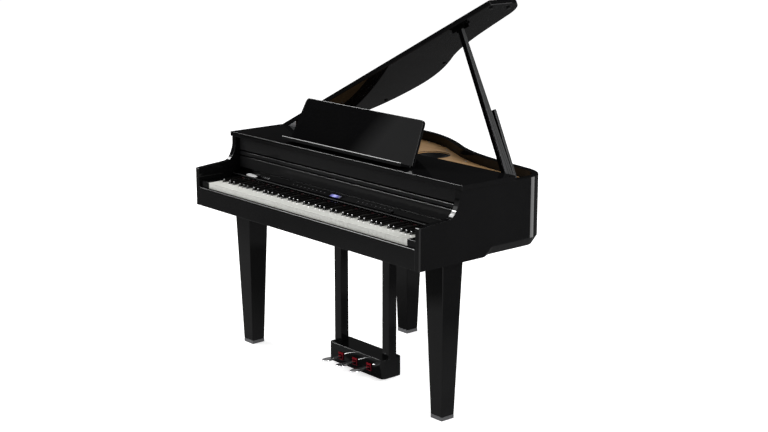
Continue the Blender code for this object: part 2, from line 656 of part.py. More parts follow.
def build_rest():
    pivot, up, forward = rest_line()
    hinge = axis("rest_axis", (0.0, *pivot))
    back = pivot + STAY_LINE * forward - REST_BELOW_PIVOT * up
    top_corner = REST_HALF_TOP - REST_CORNER, REST_LENGTH - REST_CORNER
    outline = [(-REST_HALF_BOTTOM, 0.0), (REST_HALF_BOTTOM, 0.0)]
    outline += arc(top_corner, REST_CORNER, 0, 90, 4)
    outline += [(-x, along) for x, along in reversed(arc(top_corner, REST_CORNER, 0, 90, 4))]
    points = [(x, *(back + along * up)) for x, along in outline]
    mesh = extruded(points, (0.0, *(REST_THICK * forward)))
    soften(solid("music_rest", mesh, POLISHED_BLACK, hinge), CASE_EDGE)
    heel = back + REST_THICK * forward + GAP * forward
    out = Vector((-math.cos(LEDGE_TILT), math.sin(LEDGE_TILT)))
    down = Vector((-math.sin(LEDGE_TILT), -math.cos(LEDGE_TILT)))
    lip = heel + LEDGE_DEPTH * out
    profile = [heel, lip - LIP_HEIGHT * out, lip - LIP_HEIGHT * (out + down), lip - LIP_HEIGHT * down,
               lip + LEDGE_THICK * down, heel + LEDGE_THICK * down + LEDGE_THICK * out]
    side_solid("music_ledge", profile, -LEDGE_HALF, LEDGE_HALF, POLISHED_BLACK, hinge)
    head = pivot + STAY_REACH * up
    toe = Vector((pivot.x + 2 * STAY_REACH * up.x, pivot.y))
    run = (toe - head).normalized()
    across = STAY_THICK / 2 * Vector((run.y, -run.x))
    room = REST_PIVOT_RISE - 2 * GAP - STAY_THICK / 2 * math.sin(REST_LEAN)
    tip = toe + room / math.cos(REST_LEAN) * run
    stay = axis("stay_axis", (0.0, *head))
    profile = [head + across, tip + across, tip - across, head - across]
    side_solid("rest_stay", profile, -STAY_WIDTH / 2, STAY_WIDTH / 2, DARK_METAL, stay)
    rod = [(pivot.x - HINGE_ROD_RADIUS, BOARD_TOP + GAP), (pivot.x + HINGE_ROD_RADIUS, BOARD_TOP + GAP)]
    rod += arc(pivot, HINGE_ROD_RADIUS, 0, 180, 8)
    side_solid("rest_hinge", rod, -HINGE_ROD_HALF, HINGE_ROD_HALF, DARK_METAL)


def build_lid():
    swing = axis("lid_axis", LID_AXIS, (0.0, -LID_OPEN, 0.0))
    outline = plan_path(LID_OVERHANG, LID_FRONT, LID_FRONT)
    lid = plan_solid("lid", outline, LID_UNDERSIDE, LID_UNDERSIDE + LID_THICK, POLISHED_BLACK, swing)
    soften(lid, BOARD_EDGE, 2)
    centre = (LID_AXIS.x, LID_AXIS.z)
    leaf_in = -CASE_HALF - GAP
    leaf_out = leaf_in - LEAF_THICK
    barrel = arc(centre, BARREL_RADIUS, -30, 240, 12)
    low = LID_AXIS.z - LEAF_HEIGHT
    profile = [(leaf_out, low), (leaf_in, low), (leaf_in, barrel[0][1])] + barrel
    profile.append((leaf_out, barrel[-1][1]))
    front = BOARD_REAR + BARREL_SETBACK
    mesh = extruded([(x, front, z) for x, z in profile], (0.0, BARREL_LENGTH, 0.0))
    solid("lid_hinge", mesh, BRIGHT_METAL)
    return swing


def prop_bar(name, front, foot_width, head_width, length, hinge):
    """A prop that stands on its pivot, flat sided and round at the foot."""
    x, z = PROP_PIVOT
    head = z + length
    profile = arc((x, z), PROP_THICK / 2, 180, 360, 6)
    profile += [(x + PROP_THICK / 2, head), (x - PROP_THICK / 2, head)]
    front_face = [(px, front, pz) for px, pz in profile]
    rear_face = [(px, front + (head_width if pz == head else foot_width), pz) for px, pz in profile]
    solid(name, lofted([front_face, rear_face]), DARK_METAL, hinge)


def lid_normal_distance(x, z):
    """How far the open lid's underside is from a point, measured square to the lid."""
    across = -math.sin(LID_OPEN) * (x - LID_AXIS.x) + math.cos(LID_OPEN) * (z - LID_AXIS.z)
    return LID_UNDERSIDE - LID_AXIS.z - across


def build_props(swing):
    x, z = PROP_PIVOT
    reach = lid_normal_distance(x, z)
    plate = SOCKET_SIZE[2]
    long_length = reach - plate - GAP - SLIDE_CLEARANCE
    lean = (0.0, -PROP_LEAN, 0.0)
    long_axis = axis("long_prop_axis", (x, 0.0, z), lean)
    short_axis = axis("short_prop_axis", (x, 0.0, z), lean)
    prop_bar("long_prop", PROP_FRONT, LONG_PROP_WIDE, LONG_PROP_NARROW, long_length, long_axis)
    short_front = PROP_FRONT + LONG_PROP_WIDE + CONTROL_CLEARANCE
    prop_bar("short_prop", short_front, SHORT_PROP_WIDTH, SHORT_PROP_WIDTH, SHORT_PROP_LENGTH, short_axis)
    rear = short_front + SHORT_PROP_WIDTH + CONTROL_CLEARANCE
    front = PROP_FRONT - CONTROL_CLEARANCE
    floor = SOUNDBOARD_TOP + GAP
    top = floor + BRACKET_HEIGHT
    deck = floor + BRACKET_WALL
    profile = [(front - BRACKET_WALL, floor), (rear + BRACKET_WALL, floor), (rear + BRACKET_WALL, top),
               (rear, top), (rear, deck), (front, deck), (front, top), (front - BRACKET_WALL, top)]
    right = min(x + PROP_THICK, INNER_HALF - GAP)
    side_solid("prop_bracket", profile, x - PROP_THICK, right, DARK_METAL)
    # The socket is laid out on the closed lid, where the leaning prop's head comes square under it
    head = Vector((x - long_length * math.sin(PROP_LEAN), z + long_length * math.cos(PROP_LEAN)))
    from_axis = head - Vector((LID_AXIS.x, LID_AXIS.z))
    along = from_axis.x * math.cos(LID_OPEN) + from_axis.y * math.sin(LID_OPEN)
    wide, deep, thick = SOCKET_SIZE
    centre = LID_AXIS.x + along
    middle = PROP_FRONT + LONG_PROP_NARROW / 2
    top = LID_UNDERSIDE - GAP
    under = top - thick
    cheek = under - SOCKET_CHEEK
    inner = LONG_PROP_NARROW / 2 + SLIDE_CLEARANCE
    outer = inner + BRACKET_WALL
    half = [(deep / 2, top), (deep / 2, under), (outer, under), (outer, cheek), (inner, cheek)]
    half.append((inner, under))
    profile = [(middle + y, z) for y, z in half] + [(middle - y, z) for y, z in reversed(half)]
    side_solid("prop_socket", profile, centre - wide / 2, centre + wide / 2, DARK_METAL, swing)


def turned(centre, profile, steps):
    """A closed bmesh turned round a vertical axis from (radius, height) points."""
    mesh = bmesh.new()
    x, y = centre
    chain = [mesh.verts.new((x + radius, y, height)) for radius, height in profile]
    edges = [mesh.edges.new(pair) for pair in zip(chain, chain[1:])]
    bmesh.ops.spin(mesh, geom=chain + edges, cent=(x, y, 0.0), axis=(0.0, 0.0, 1.0), angle=2 * math.pi,
                   steps=steps, use_merge=True)
    bmesh.ops.remove_doubles(mesh, verts=mesh.verts, dist=0.00001)
    return mesh


def build_inside():
    plan = inside_plan(BOARD_REAR - SOUNDBOARD_LAP)
    board = plan_solid("soundboard", plan, SOUNDBOARD_BOTTOM, SOUNDBOARD_TOP, SPRUCE)
    radius = SPEAKER_HOLE - GAP
    flange = SPEAKER_HOLE + SPEAKER_FLANGE
    under = SOUNDBOARD_BOTTOM - GAP
    low = under - SPEAKER_FLANGE_THICK
    edge = SOUNDBOARD_TOP - SPEAKER_DROP
    profile = [(0.0, SOUNDBOARD_TOP), (radius / 2, SOUNDBOARD_TOP - GAP), (radius, edge), (radius, under),
               (flange, under), (flange, low), (radius, low), (radius / 2, under - SPEAKER_BASKET),
               (radius / 2, under - SPEAKER_DEPTH), (0.0, under - SPEAKER_DEPTH)]
    for name, place in (("right_speaker", RIGHT_SPEAKER), ("left_speaker", LEFT_SPEAKER)):
        bore = [(*point, SOUNDBOARD_BOTTOM - WALL) for point in arc(place, SPEAKER_HOLE, 0, 345, 23)]
        hole = cutter(name + "_hole", extruded(bore, (0.0, 0.0, 2 * WALL)))
        combine(board, hole, "DIFFERENCE")
        solid(name, turned(place, profile, 24), SATIN_BLACK)
    wide, deep, high = AMPLIFIER_SIZE
    x, y = AMPLIFIER_PLACE
    floor = CASE_BOTTOM + BOTTOM_THICK + GAP
    deck = floor + high / 4
    pitch = deep / (2 * AMPLIFIER_FINS - 1)
    profile = [(y - deep / 2, floor), (y + deep / 2, floor)]
    for fin in reversed(range(AMPLIFIER_FINS)):
        start = y - deep / 2 + 2 * fin * pitch
        profile += [(start + pitch, deck)] if fin < AMPLIFIER_FINS - 1 else []
        profile += [(start + pitch, floor + high), (start, floor + high)]
        profile += [(start, deck)] if fin > 0 else []
    side_solid("amplifier_board", profile, x - wide / 2, x + wide / 2, BRIGHT_METAL)


def build_legs():
    places = (("front_left", (-LEG_X, LEG_Y)), ("front_right", (LEG_X, LEG_Y)), ("rear", REAR_LEG))
    top = CASE_BOTTOM - GAP
    shoulder = top - LEG_PLATE_THICK
    for name, place in places:
        rings = [square(place, LEG_FOOT / 2, FERRULE_HEIGHT + GAP), square(place, LEG_HEAD / 2, shoulder),
                 square(place, LEG_PLATE / 2, shoulder), square(place, LEG_PLATE / 2, top)]
        solid(name + "_leg", lofted(rings), POLISHED_BLACK)
        ferrule = lofted([square(place, LEG_FOOT / 2, 0.0), square(place, LEG_FOOT / 2, FERRULE_HEIGHT)])
        soften(solid(name + "_ferrule", ferrule, BRIGHT_METAL), FINE_EDGE)


def rounded_plan(half, front, rear, radius):
    """A rectangle with round corners, centred on x = 0."""
    corners = ((half - radius, rear - radius, 0), (radius - half, rear - radius, 90),
               (radius - half, front + radius, 180), (half - radius, front + radius, 270))
    outline = []
    for x, y, start in corners:
        outline += arc((x, y), radius, start, start + 90, 5)
    return outline


def pedal_plan(x):
    """A pedal from its pivot to its spoon-shaped tip."""
    radius = PEDAL_SPOON / 2
    tip = PEDAL_TIP + radius
    neck = tip + PEDAL_SPOON
    outline = [(x + PEDAL_ARM / 2, PEDAL_AXIS), (x - PEDAL_ARM / 2, PEDAL_AXIS), (x - PEDAL_ARM / 2, neck)]
    outline += arc((x, tip), radius, 160, 380, 12)
    return outline + [(x + PEDAL_ARM / 2, neck)]


def build_lyre():
    middle = PEDAL_BOX_FRONT + COLUMN_SETBACK + COLUMN_DEPTH / 2
    for name, x in (("left_column", -COLUMN_X), ("right_column", COLUMN_X)):
        half = (COLUMN_WIDTH / 2, COLUMN_DEPTH / 2)
        foot = square((x, middle), half, PEDAL_BOX_TOP + GAP)
        head = square((x, middle), half, CASE_BOTTOM - GAP)
        soften(solid(name, lofted([foot, head]), POLISHED_BLACK), CASE_EDGE)
    outline = rounded_plan(PEDAL_BOX_HALF, PEDAL_BOX_FRONT, PEDAL_BOX_REAR, PEDAL_BOX_ROUND)
    pedal_box = plan_solid("pedal_box", outline, PEDAL_BOX_BOTTOM, PEDAL_BOX_TOP, POLISHED_BLACK)
    drop = (PEDAL_AXIS - PEDAL_BOX_FRONT) * math.tan(PEDAL_DIP)
    for name, x in (("soft_pedal", -PEDAL_PITCH), ("middle_pedal", 0.0), ("damper_pedal", PEDAL_PITCH)):
        half = PEDAL_ARM / 2 + SLOT_CLEARANCE
        low = PEDAL_TOP - PEDAL_THICK - drop - SLOT_CLEARANCE
        slot = box_mesh((x - half, PEDAL_BOX_FRONT - SLOT_CLEARANCE, low),
                        (x + half, PEDAL_AXIS + SLOT_CLEARANCE, PEDAL_TOP + SLOT_CLEARANCE))
        combine(pedal_box, cutter(name + "_slot", slot), "DIFFERENCE")
        pivot = axis(name + "_axis", (x, PEDAL_AXIS, PEDAL_TOP))
        pedal = plan_solid(name, pedal_plan(x), PEDAL_TOP - PEDAL_THICK, PEDAL_TOP, BRIGHT_METAL, pivot)
        soften(pedal, FINE_EDGE)


build_case()
build_controls()
build_cover()
build_keys()
build_rest()
build_props(build_lid())
build_inside()
build_legs()
build_lyre()
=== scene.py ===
"""Looks of a digital grand piano: polished ebony case, propped lid, ivory keys and chromed pedals.

Metres, +Z up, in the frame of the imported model. The player sits on the -Y side and the bass is at -X.
"""

import json
import math

import bmesh
import bpy
from mathutils import Matrix, Vector


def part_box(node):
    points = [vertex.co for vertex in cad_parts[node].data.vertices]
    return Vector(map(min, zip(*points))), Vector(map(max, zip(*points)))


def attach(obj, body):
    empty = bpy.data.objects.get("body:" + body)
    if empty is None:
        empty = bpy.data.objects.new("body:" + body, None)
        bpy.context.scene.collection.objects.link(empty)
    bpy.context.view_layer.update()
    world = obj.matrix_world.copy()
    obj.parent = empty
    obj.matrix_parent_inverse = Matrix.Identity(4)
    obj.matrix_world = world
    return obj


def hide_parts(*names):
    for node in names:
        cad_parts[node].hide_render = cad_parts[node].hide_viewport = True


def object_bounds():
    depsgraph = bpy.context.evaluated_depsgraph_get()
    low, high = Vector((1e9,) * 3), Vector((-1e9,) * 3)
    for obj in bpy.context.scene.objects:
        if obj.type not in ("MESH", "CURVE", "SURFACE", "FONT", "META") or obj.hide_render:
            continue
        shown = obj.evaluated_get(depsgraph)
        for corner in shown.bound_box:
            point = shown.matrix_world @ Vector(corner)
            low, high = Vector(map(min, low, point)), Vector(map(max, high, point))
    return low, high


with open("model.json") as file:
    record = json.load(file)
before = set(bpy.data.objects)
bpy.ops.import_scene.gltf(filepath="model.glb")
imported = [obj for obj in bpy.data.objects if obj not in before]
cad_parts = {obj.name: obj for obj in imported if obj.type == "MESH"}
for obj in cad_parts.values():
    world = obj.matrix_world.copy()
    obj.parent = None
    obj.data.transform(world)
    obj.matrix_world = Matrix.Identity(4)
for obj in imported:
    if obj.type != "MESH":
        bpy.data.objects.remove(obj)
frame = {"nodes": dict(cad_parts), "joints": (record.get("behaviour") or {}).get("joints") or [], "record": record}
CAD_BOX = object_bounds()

# The front of the arms, from which the depths below are measured
FRONT = CAD_BOX[0].y

# Camera, from the photograph's vanishing lines
CAMERA_PLACE = (4.380, -3.327, 2.009)
CAMERA_TILT = math.radians(76.467)
CAMERA_TURN = math.radians(49.382)
CAMERA_LENS = 70.17

# Studio: the light of the room, and a card on the floor that the case's rear right corner mirrors
AMBIENT = 0.42
CARD_CENTRE = (0.690, 0.107)
CARD_ANGLES = (math.radians(46.2), math.radians(68.0))

# Keyboard
OCTAVE = ("A", "As", "B", "C", "Cs", "D", "Ds", "E", "F", "Fs", "G", "Gs")
SHARP_OFFSETS = {"Cs": -0.002, "Ds": 0.002, "Fs": -0.003, "Gs": 0.0, "As": 0.003}
KEYS = 88
FIRST_SINGLE = 39
LAST_SINGLE = 50
KEY_PITCH = 0.0235
KEYBOARD_WIDTH = 52 * KEY_PITCH
KEY_GAP = 0.001
KEY_PLATE = 0.0028
KEY_LIP = 0.0012
SHARP_WIDTH = 0.011
SHARP_LENGTH = 0.095
SHARP_TAPER = 0.0011
SHARP_SLOPE = 0.006
NOTCH = 0.002

# Case
WALL = 0.024
ARM_RISE = 0.155
ARM_LENGTH = 0.142
ARM_SLOPE = math.radians(4.4)
ARM_ROUND = 0.004
SCROLL_DEPTH = 0.045
SCROLL_FLAT = 0.4
SCROLL_TURN = (0.8, 0.23)
SCROLL_END_DROP = 0.3
CHAMFER_IN = 0.020
CHAMFER_UP = 0.033
CHAMFER_START = 0.303
CHAMFER_RUN = 0.053
CORNER_ROUND = 0.002
ARM_CORNER_ROUND = 0.007

# Plan of the case behind its straight sides, as driving points and the runs of the curves there
RIGHT_CURVE_START = 0.548
LEFT_CURVE_START = 0.700
CORNER_END = Vector((0.580, 0.6515))
BEND = Vector((0.075, 0.780))
TAIL = Vector((-0.290, 0.892))
RIGHT_RUN = Vector((0.0, 0.052))
CORNER_RUN = Vector((-0.060, 0.012))
CORNER_RUN_ON = Vector((-0.170, 0.025))
BEND_RUN = Vector((-0.165, 0.092))
BEND_RUN_ON = Vector((-0.115, 0.064))
TAIL_RUN = Vector((-0.130, 0.0))
TAIL_RUN_ON = Vector((-0.190, 0.0))
LEFT_RUN = Vector((0.0, -0.140))
CURVE_STEPS = 22

# Lid and music rest
LID_OPEN = math.radians(26.3)
LID_OVERHANG = 0.0138
LID_THICK = 0.019
REST_LEAN = math.radians(25)
REST_THICK = 0.014
REST_HALF_BOTTOM = 0.368
REST_HALF_TOP = 0.350
REST_TALL = 0.177
REST_CORNER = 0.020
REST_BELOW_PIVOT = 0.0025

# Controls: how far a print stands out, the bezel and the groove of the slider, the marks beside it,
# the dim buttons as (first place, step), their reach from the power button, and the display
PRINT_LIFT = 0.00002
PRINT_THICK = 0.00012
BEZEL_PLACE = (-0.539, -0.0085)
SLIDER_X = -0.503
MARKS = [(-0.470 + index * 0.012, 0.0070 + index * 0.0018) for index in range(4)]
DIM_ROWS = ((-0.075, -0.0250), (0.130, 0.0255))
DIM_COUNT = 9
BUTTON_CLEAR = 0.014
DISPLAY_MIDDLE = -0.006
DISPLAY_BAR_PITCH = 0.0054636

# Stand
LEG_FOOT = 0.061
LEG_HEAD = 0.098
LEG_PLATE_THICK = 0.012
LEG_SCREW_REACH = 0.0530

# Felts of a pedal: half of their width, their inner half width, depth and gap to the box
FELT_HALF = 0.0145
FELT_INNER = 0.0092
FELT_DEPTH = 0.0040
FELT_GAP = 0.0003

# Props: their ribs and bead as shares of their width, and how deep a strip is sunk into them
PROPS = (("long_prop", ((0.23, 0.45), (0.49, 0.71), (0.75, 0.97)), (0.14, 0.20)),
         ("short_prop", ((0.18, 0.56), (0.62, 0.96)), (0.0, 0.15)))
STRIP_SUNK = 0.0004

# Speakers: dust cap, cone, surround, frame, flange and basket as (radius, depth below the soundboard),
# and the ring round the opening as (outward, up)
SPEAKER = ((0.0, 0.022), (0.010, 0.0225), (0.018, 0.026), (0.020, 0.027), (0.052, 0.009), (0.054, 0.0078),
           (0.0565, 0.0052), (0.0605, 0.0052), (0.063, 0.0078), (0.0655, 0.008), (0.0655, 0.003),
           (0.0697, 0.003), (0.0697, 0.0063), (0.078, 0.0063), (0.078, 0.0103), (0.0697, 0.0103),
           (0.035, 0.0483), (0.035, 0.0763), (0.0, 0.0763))
RING = ((0.0004, -0.001), (0.0006, 0.0010), (0.0020, 0.0018), (0.0038, 0.0010), (0.0042, 0.0001),
        (0.0004, -0.001))
TURNED_STEPS = 64
SHARP_ANGLE = math.radians(35)

# Tones
EBONY = (0.0040, 0.0040, 0.0042)
EBONY_DEEP = (0.0028, 0.0028, 0.0030)
IVORY = (0.680, 0.684, 0.645)
IVORY_WARM = (0.660, 0.662, 0.615)
SPRUCE_LIGHT = (0.640, 0.395, 0.190)
SPRUCE_DARK = (0.450, 0.255, 0.110)
FELT_RED = (0.30, 0.004, 0.014)
FELT_DEEP = (0.15, 0.002, 0.006)
FELT_MAROON = (0.050, 0.0045, 0.0065)
FELT_MAROON_DEEP = (0.028, 0.0025, 0.0035)


def at(x, y, z):
    """A point from its depth behind the arms' fronts."""
    return Vector((x, FRONT + y, z))


class Value:
    """A socket of a finish that takes part in sums."""

    def __init__(self, tree, socket):
        self.tree = tree
        self.socket = socket

    def maths(self, operation, first, second):
        return self.tree.node("ShaderNodeMath", {"operation": operation}, {0: first, 1: second})

    def __add__(self, other):
        return self.maths("ADD", self, other)

    def __radd__(self, other):
        return self.maths("ADD", other, self)

    def __sub__(self, other):
        return self.maths("SUBTRACT", self, other)

    def __rsub__(self, other):
        return self.maths("SUBTRACT", other, self)

    def __mul__(self, other):
        return self.maths("MULTIPLY", self, other)

    def __rmul__(self, other):
        return self.maths("MULTIPLY", other, self)

    def __pow__(self, other):
        return self.maths("POWER", self, other)


class Tree:
    """A node tree, to which every node is added by one method."""

    def __init__(self, tree):
        self.tree = tree

    def node(self, kind, settings=None, inputs=None, output=0):
        made = self.tree.nodes.new(kind)
        for name, value in (settings or {}).items():
            setattr(made, name, value)
        for key, value in (inputs or {}).items():
            self.feed(made.inputs[key], value)
        return Value(self, made.outputs[output])

    def feed(self, socket, value):
        if isinstance(value, Value):
            self.tree.links.new(value.socket, socket)
        elif socket.type == "RGBA" and len(value) == 3:
            socket.default_value = (*value, 1.0)
        else:
            socket.default_value = value

    def where(self, stretch=(1.0, 1.0, 1.0), turn=0.0):
        """Object coordinates, stretched, and turned about +Z."""
        place = self.node("ShaderNodeTexCoord", output="Object")
        return self.node("ShaderNodeMapping", {},
                         {"Vector": place, "Rotation": (0.0, 0.0, turn), "Scale": stretch})

    def noise(self, scale, detail=2.0, stretch=(1.0, 1.0, 1.0), turn=0.0):
        return self.node("ShaderNodeTexNoise", {},
                         {"Vector": self.where(stretch, turn), "Scale": scale, "Detail": detail})

    def between(self, value, low, high):
        """0 below low and 1 above high."""
        return self.node("ShaderNodeMapRange", {}, {0: value, 1: low, 2: high, 3: 0.0, 4: 1.0})

    def band(self, value, rise, fall):
        """1 from the end of the rise to the start of the fall, and 0 outside them."""
        return self.between(value, *rise) * (1.0 - self.between(value, *fall))

    def part(self, vector, index):
        """One of the three parts of a vector."""
        return self.node("ShaderNodeSeparateXYZ", {}, {0: vector}, index)

    def distance(self, place, centre=(0.0, 0.0, 0.0)):
        return self.node("ShaderNodeVectorMath", {"operation": "DISTANCE"}, {0: place, 1: centre}, "Value")

    def along(self, vector, direction):
        """How far a vector goes along a direction."""
        return self.node("ShaderNodeVectorMath", {"operation": "DOT_PRODUCT"}, {0: vector, 1: direction},
                         "Value")

    def mixed(self, share, first, second):
        """A colour between two colours."""
        return self.node("ShaderNodeMix", {"data_type": "RGBA"}, {0: share, 6: first, 7: second}, 2)


class Finish(Tree):
    """A material with a principled shader."""

    def __init__(self, name, **sockets):
        self.material = bpy.data.materials.new(name)
        self.material.use_nodes = True
        super().__init__(self.material.node_tree)
        self.shader = self.tree.nodes["Principled BSDF"]
        self.set(**sockets)

    def set(self, **sockets):
        """Sets sockets by their names in lower case with underscores."""
        by_name = {socket.name.lower().replace(" ", "_"): socket for socket in self.shader.inputs}
        for name, value in sockets.items():
            self.feed(by_name[name], value)
        return self

    def bump(self, height, strength, distance):
        normal = self.node("ShaderNodeBump", {},
                           {"Height": height, "Strength": strength, "Distance": distance})
        return self.set(normal=normal)


def lacquer(name, light, deep, shine):
    """Black polyester, buffed to a mirror, with a faint cloudiness under its clear coat."""
    finish = Finish(name, roughness=0.55, specular_ior_level=0.0, coat_roughness=0.0, coat_ior=1.5)
    cloud = finish.noise(7.0, 3.0)
    finish.set(base_color=finish.mixed(cloud, deep, light), coat_weight=shine * (0.92 + 0.16 * cloud))
    return finish.material


def grained(name, deep, light, grain, rough, relief, gloss):
    """A finish whose tone, roughness and relief follow one grain."""
    finish = Finish(name, specular_ior_level=gloss)
    grain = finish.noise(*grain)
    finish.set(base_color=finish.mixed(grain, deep, light), roughness=rough[0] + rough[1] * grain)
    return finish.bump(grain, relief, 0.0002).material


def ivory():
    """Warm white key plastic with a faint grain along the key."""
    finish = Finish("ivory", specular_ior_level=0.25, coat_weight=0.10, coat_roughness=0.12)
    grain = finish.noise(40.0, 2.0, (14.0, 1.0, 14.0))
    finish.set(base_color=finish.mixed(0.35 * grain, IVORY, IVORY_WARM), roughness=0.30 + 0.08 * grain)
    return finish.bump(grain, 0.03, 0.0001).material


def ebony_wood():
    """The sharps: buffed black with brown streaks along the key."""
    finish = Finish("ebony_wood", specular_ior_level=0.0, coat_weight=0.7, coat_roughness=0.0)
    streak = finish.between(finish.noise(30.0, 4.0, (16.0, 1.0, 16.0)), 0.42, 0.72)
    finish.set(base_color=finish.mixed(streak, (0.0034, 0.0034, 0.0035), (0.0075, 0.0065, 0.0060)),
               roughness=0.42 + 0.15 * streak)
    return finish.bump(streak, 0.12, 0.0002).material


def spruce():
    """The varnished soundboard, with its year rings running along the bent side."""
    finish = Finish("spruce", specular_ior_level=0.08, coat_weight=0.12, coat_roughness=0.0)
    drift = finish.noise(1.6, 2.0)
    rings = finish.noise(210.0, 2.0, (0.015, 1.0, 1.0), math.radians(-16))
    bands = finish.noise(26.0, 2.0, (0.03, 1.0, 1.0), math.radians(-16))
    tone = finish.between(0.55 * rings + 0.35 * bands + 0.2 * drift, 0.38, 0.72)
    finish.set(base_color=finish.mixed(tone, SPRUCE_LIGHT, SPRUCE_DARK), roughness=0.50 + 0.12 * rings)
    return finish.bump(rings, 0.05, 0.0003).material


def bare_board(name, light, dark):
    """Pressed board under a thin stain."""
    finish = Finish(name, specular_ior_level=0.2)
    chips = finish.noise(420.0, 3.0, (1.0, 0.6, 1.0))
    cloud = finish.noise(6.0, 2.0)
    finish.set(base_color=finish.mixed(0.6 * chips + 0.4 * cloud, dark, light),
               roughness=0.62 + 0.2 * chips)
    return finish.bump(chips, 0.2, 0.0004).material


def chrome():
    """Polished pedal metal, with fine rub marks where shoes slide."""
    finish = Finish("chrome", metallic=1.0)
    rub = finish.noise(300.0, 2.0, (1.0, 0.08, 1.0))
    worn = finish.between(finish.noise(16.0, 2.0), 0.55, 0.80)
    finish.set(base_color=finish.mixed(rub * worn, (0.93, 0.93, 0.94), (0.62, 0.62, 0.63)), roughness=0.0)
    return finish.bump(rub, 0.02, 0.0002).material


def brushed_steel(name, tone, along):
    """Brushed plate, with its scratches along one direction."""
    finish = Finish(name, metallic=1.0)
    scratch = finish.noise(900.0, 3.0, along)
    cloud = finish.noise(12.0, 1.0)
    finish.set(base_color=finish.mixed(cloud, tone, tuple(0.82 * part for part in tone)),
               roughness=0.26 + 0.16 * scratch)
    return finish.bump(scratch, 0.10, 0.0002).material


def felt(name, bright, deep):
    """Pressed wool felt with its loose fibres."""
    finish = Finish(name, specular_ior_level=0.02, sheen_weight=0.08, sheen_roughness=0.5)
    fibre = finish.noise(2600.0, 3.0, (1.0, 0.35, 1.0))
    clump = finish.noise(260.0, 2.0)
    finish.set(base_color=finish.mixed(0.5 * fibre + 0.5 * clump, deep, bright),
               roughness=0.9 + 0.1 * clump)
    return finish.bump(fibre, 0.5, 0.0006).material


def display_light():
    """A lit window: pale level bars over a violet ground that fades to its ends."""
    finish = Finish("display_light", base_color=(0.004, 0.004, 0.010), roughness=0.25,
                    emission_strength=1.0)
    place = finish.node("ShaderNodeTexCoord", output="Object")
    x = finish.part(place, 0)
    reach = finish.node("ShaderNodeMath", {"operation": "ABSOLUTE"}, {0: x - DISPLAY_MIDDLE})
    glow = (1.0 - finish.between(reach, 0.004, 0.036)) ** 1.6
    beat = finish.node("ShaderNodeMath", {"operation": "SINE"}, {0: x * (2 * math.pi / DISPLAY_BAR_PITCH)})
    bars = finish.between(beat, 0.1, 0.5) * (1.0 - finish.between(reach, 0.006, 0.016))
    ground = finish.mixed(glow, (0.002, 0.002, 0.010), (0.085, 0.080, 0.70))
    finish.set(emission_color=finish.mixed(bars, ground, (0.75, 0.80, 1.0)))
    return finish.material


def screen_print(name, light, deep):
    """Thin screen print on the control panel."""
    finish = Finish(name, specular_ior_level=0.2)
    grain = finish.noise(1500.0, 1.0)
    finish.set(base_color=finish.mixed(grain, deep, light), roughness=0.5 + 0.1 * grain)
    return finish.material


EBONY_POLISH = lacquer("ebony_polish", EBONY, EBONY_DEEP, 0.24)
PANEL_GLOSS = lacquer("panel_gloss", (0.0014, 0.0014, 0.0015), (0.0010, 0.0010, 0.0011), 0.04)
EBONY_SATIN = lacquer("ebony_satin", (0.0175, 0.0175, 0.0179), (0.0140, 0.0140, 0.0144), 0.13)
# Powder-coated metal
SATIN_BLACK = grained("satin_black", (0.030, 0.030, 0.032), (0.042, 0.042, 0.044), (1400.0, 1.0),
                      (0.36, 0.10), 0.15, 0.35)
IVORY_KEYS = ivory()
EBONY_KEYS = ebony_wood()
SPRUCE = spruce()
RAW_BOARD = bare_board("raw_board", (0.30, 0.21, 0.13), (0.19, 0.125, 0.075))
BLACK_BOARD = bare_board("black_board", (0.020, 0.019, 0.018), (0.011, 0.0105, 0.010))
CHROME = chrome()
FERRULE_STEEL = brushed_steel("ferrule_steel", (0.084, 0.084, 0.087), (0.05, 0.05, 1.0))
HINGE_STEEL = brushed_steel("hinge_steel", (0.34, 0.34, 0.35), (1.0, 0.04, 1.0))
SILVER = brushed_steel("silver_plastic", (0.56, 0.56, 0.56), (0.05, 1.0, 1.0))
RED_FELT = felt("red_felt", FELT_RED, FELT_DEEP)
MAROON_FELT = felt("maroon_felt", FELT_MAROON, FELT_MAROON_DEEP)
# A darker copy of the red felt for the side and bottom felts round each pedal: painted shade under the pedal arm
FELT_PAINTED_SHADE = felt("deep_felt", (0.13, 0.003, 0.012), (0.06, 0.002, 0.006))
RUBBER = grained("rubber", (0.006, 0.006, 0.006), (0.010, 0.010, 0.010), (500.0, 2.0), (0.62, 0.2), 0.15,
                 0.04)
# Plastic with a fine spark texture
MOULDED_BLACK = grained("moulded_black", (0.0065, 0.0065, 0.0070), (0.012, 0.012, 0.0125), (1800.0, 2.0),
                        (0.42, 0.12), 0.2, 0.06)
DISPLAY_LIGHT = display_light()
PRINTED_GREY = screen_print("printed_grey", (0.42, 0.42, 0.43), (0.30, 0.30, 0.31))
# Dim print for the panel's buttons, also drawn as a line along the panel's front edge that is a painted highlight
DIM_PRINT_AND_PAINTED_HIGHLIGHT = screen_print("printed_dim", (0.075, 0.075, 0.078), (0.050, 0.050, 0.052))
# The satin face of the props, drawn out lengthwise; laid only on their side towards +X, whose lighter tone is
# painted light
RIB_GREY_PAINTED_LIGHT = grained("rib_grey", (0.019, 0.0194, 0.0198), (0.031, 0.0314, 0.0318),
                   (500.0, 2.0, (1.0, 1.0, 0.03)), (0.40, 0.15), 0.1, 0.2)


def placed(name, data):
    """A new object in the scene."""
    made = bpy.data.objects.new(name, data)
    bpy.context.scene.collection.objects.link(made)
    return made


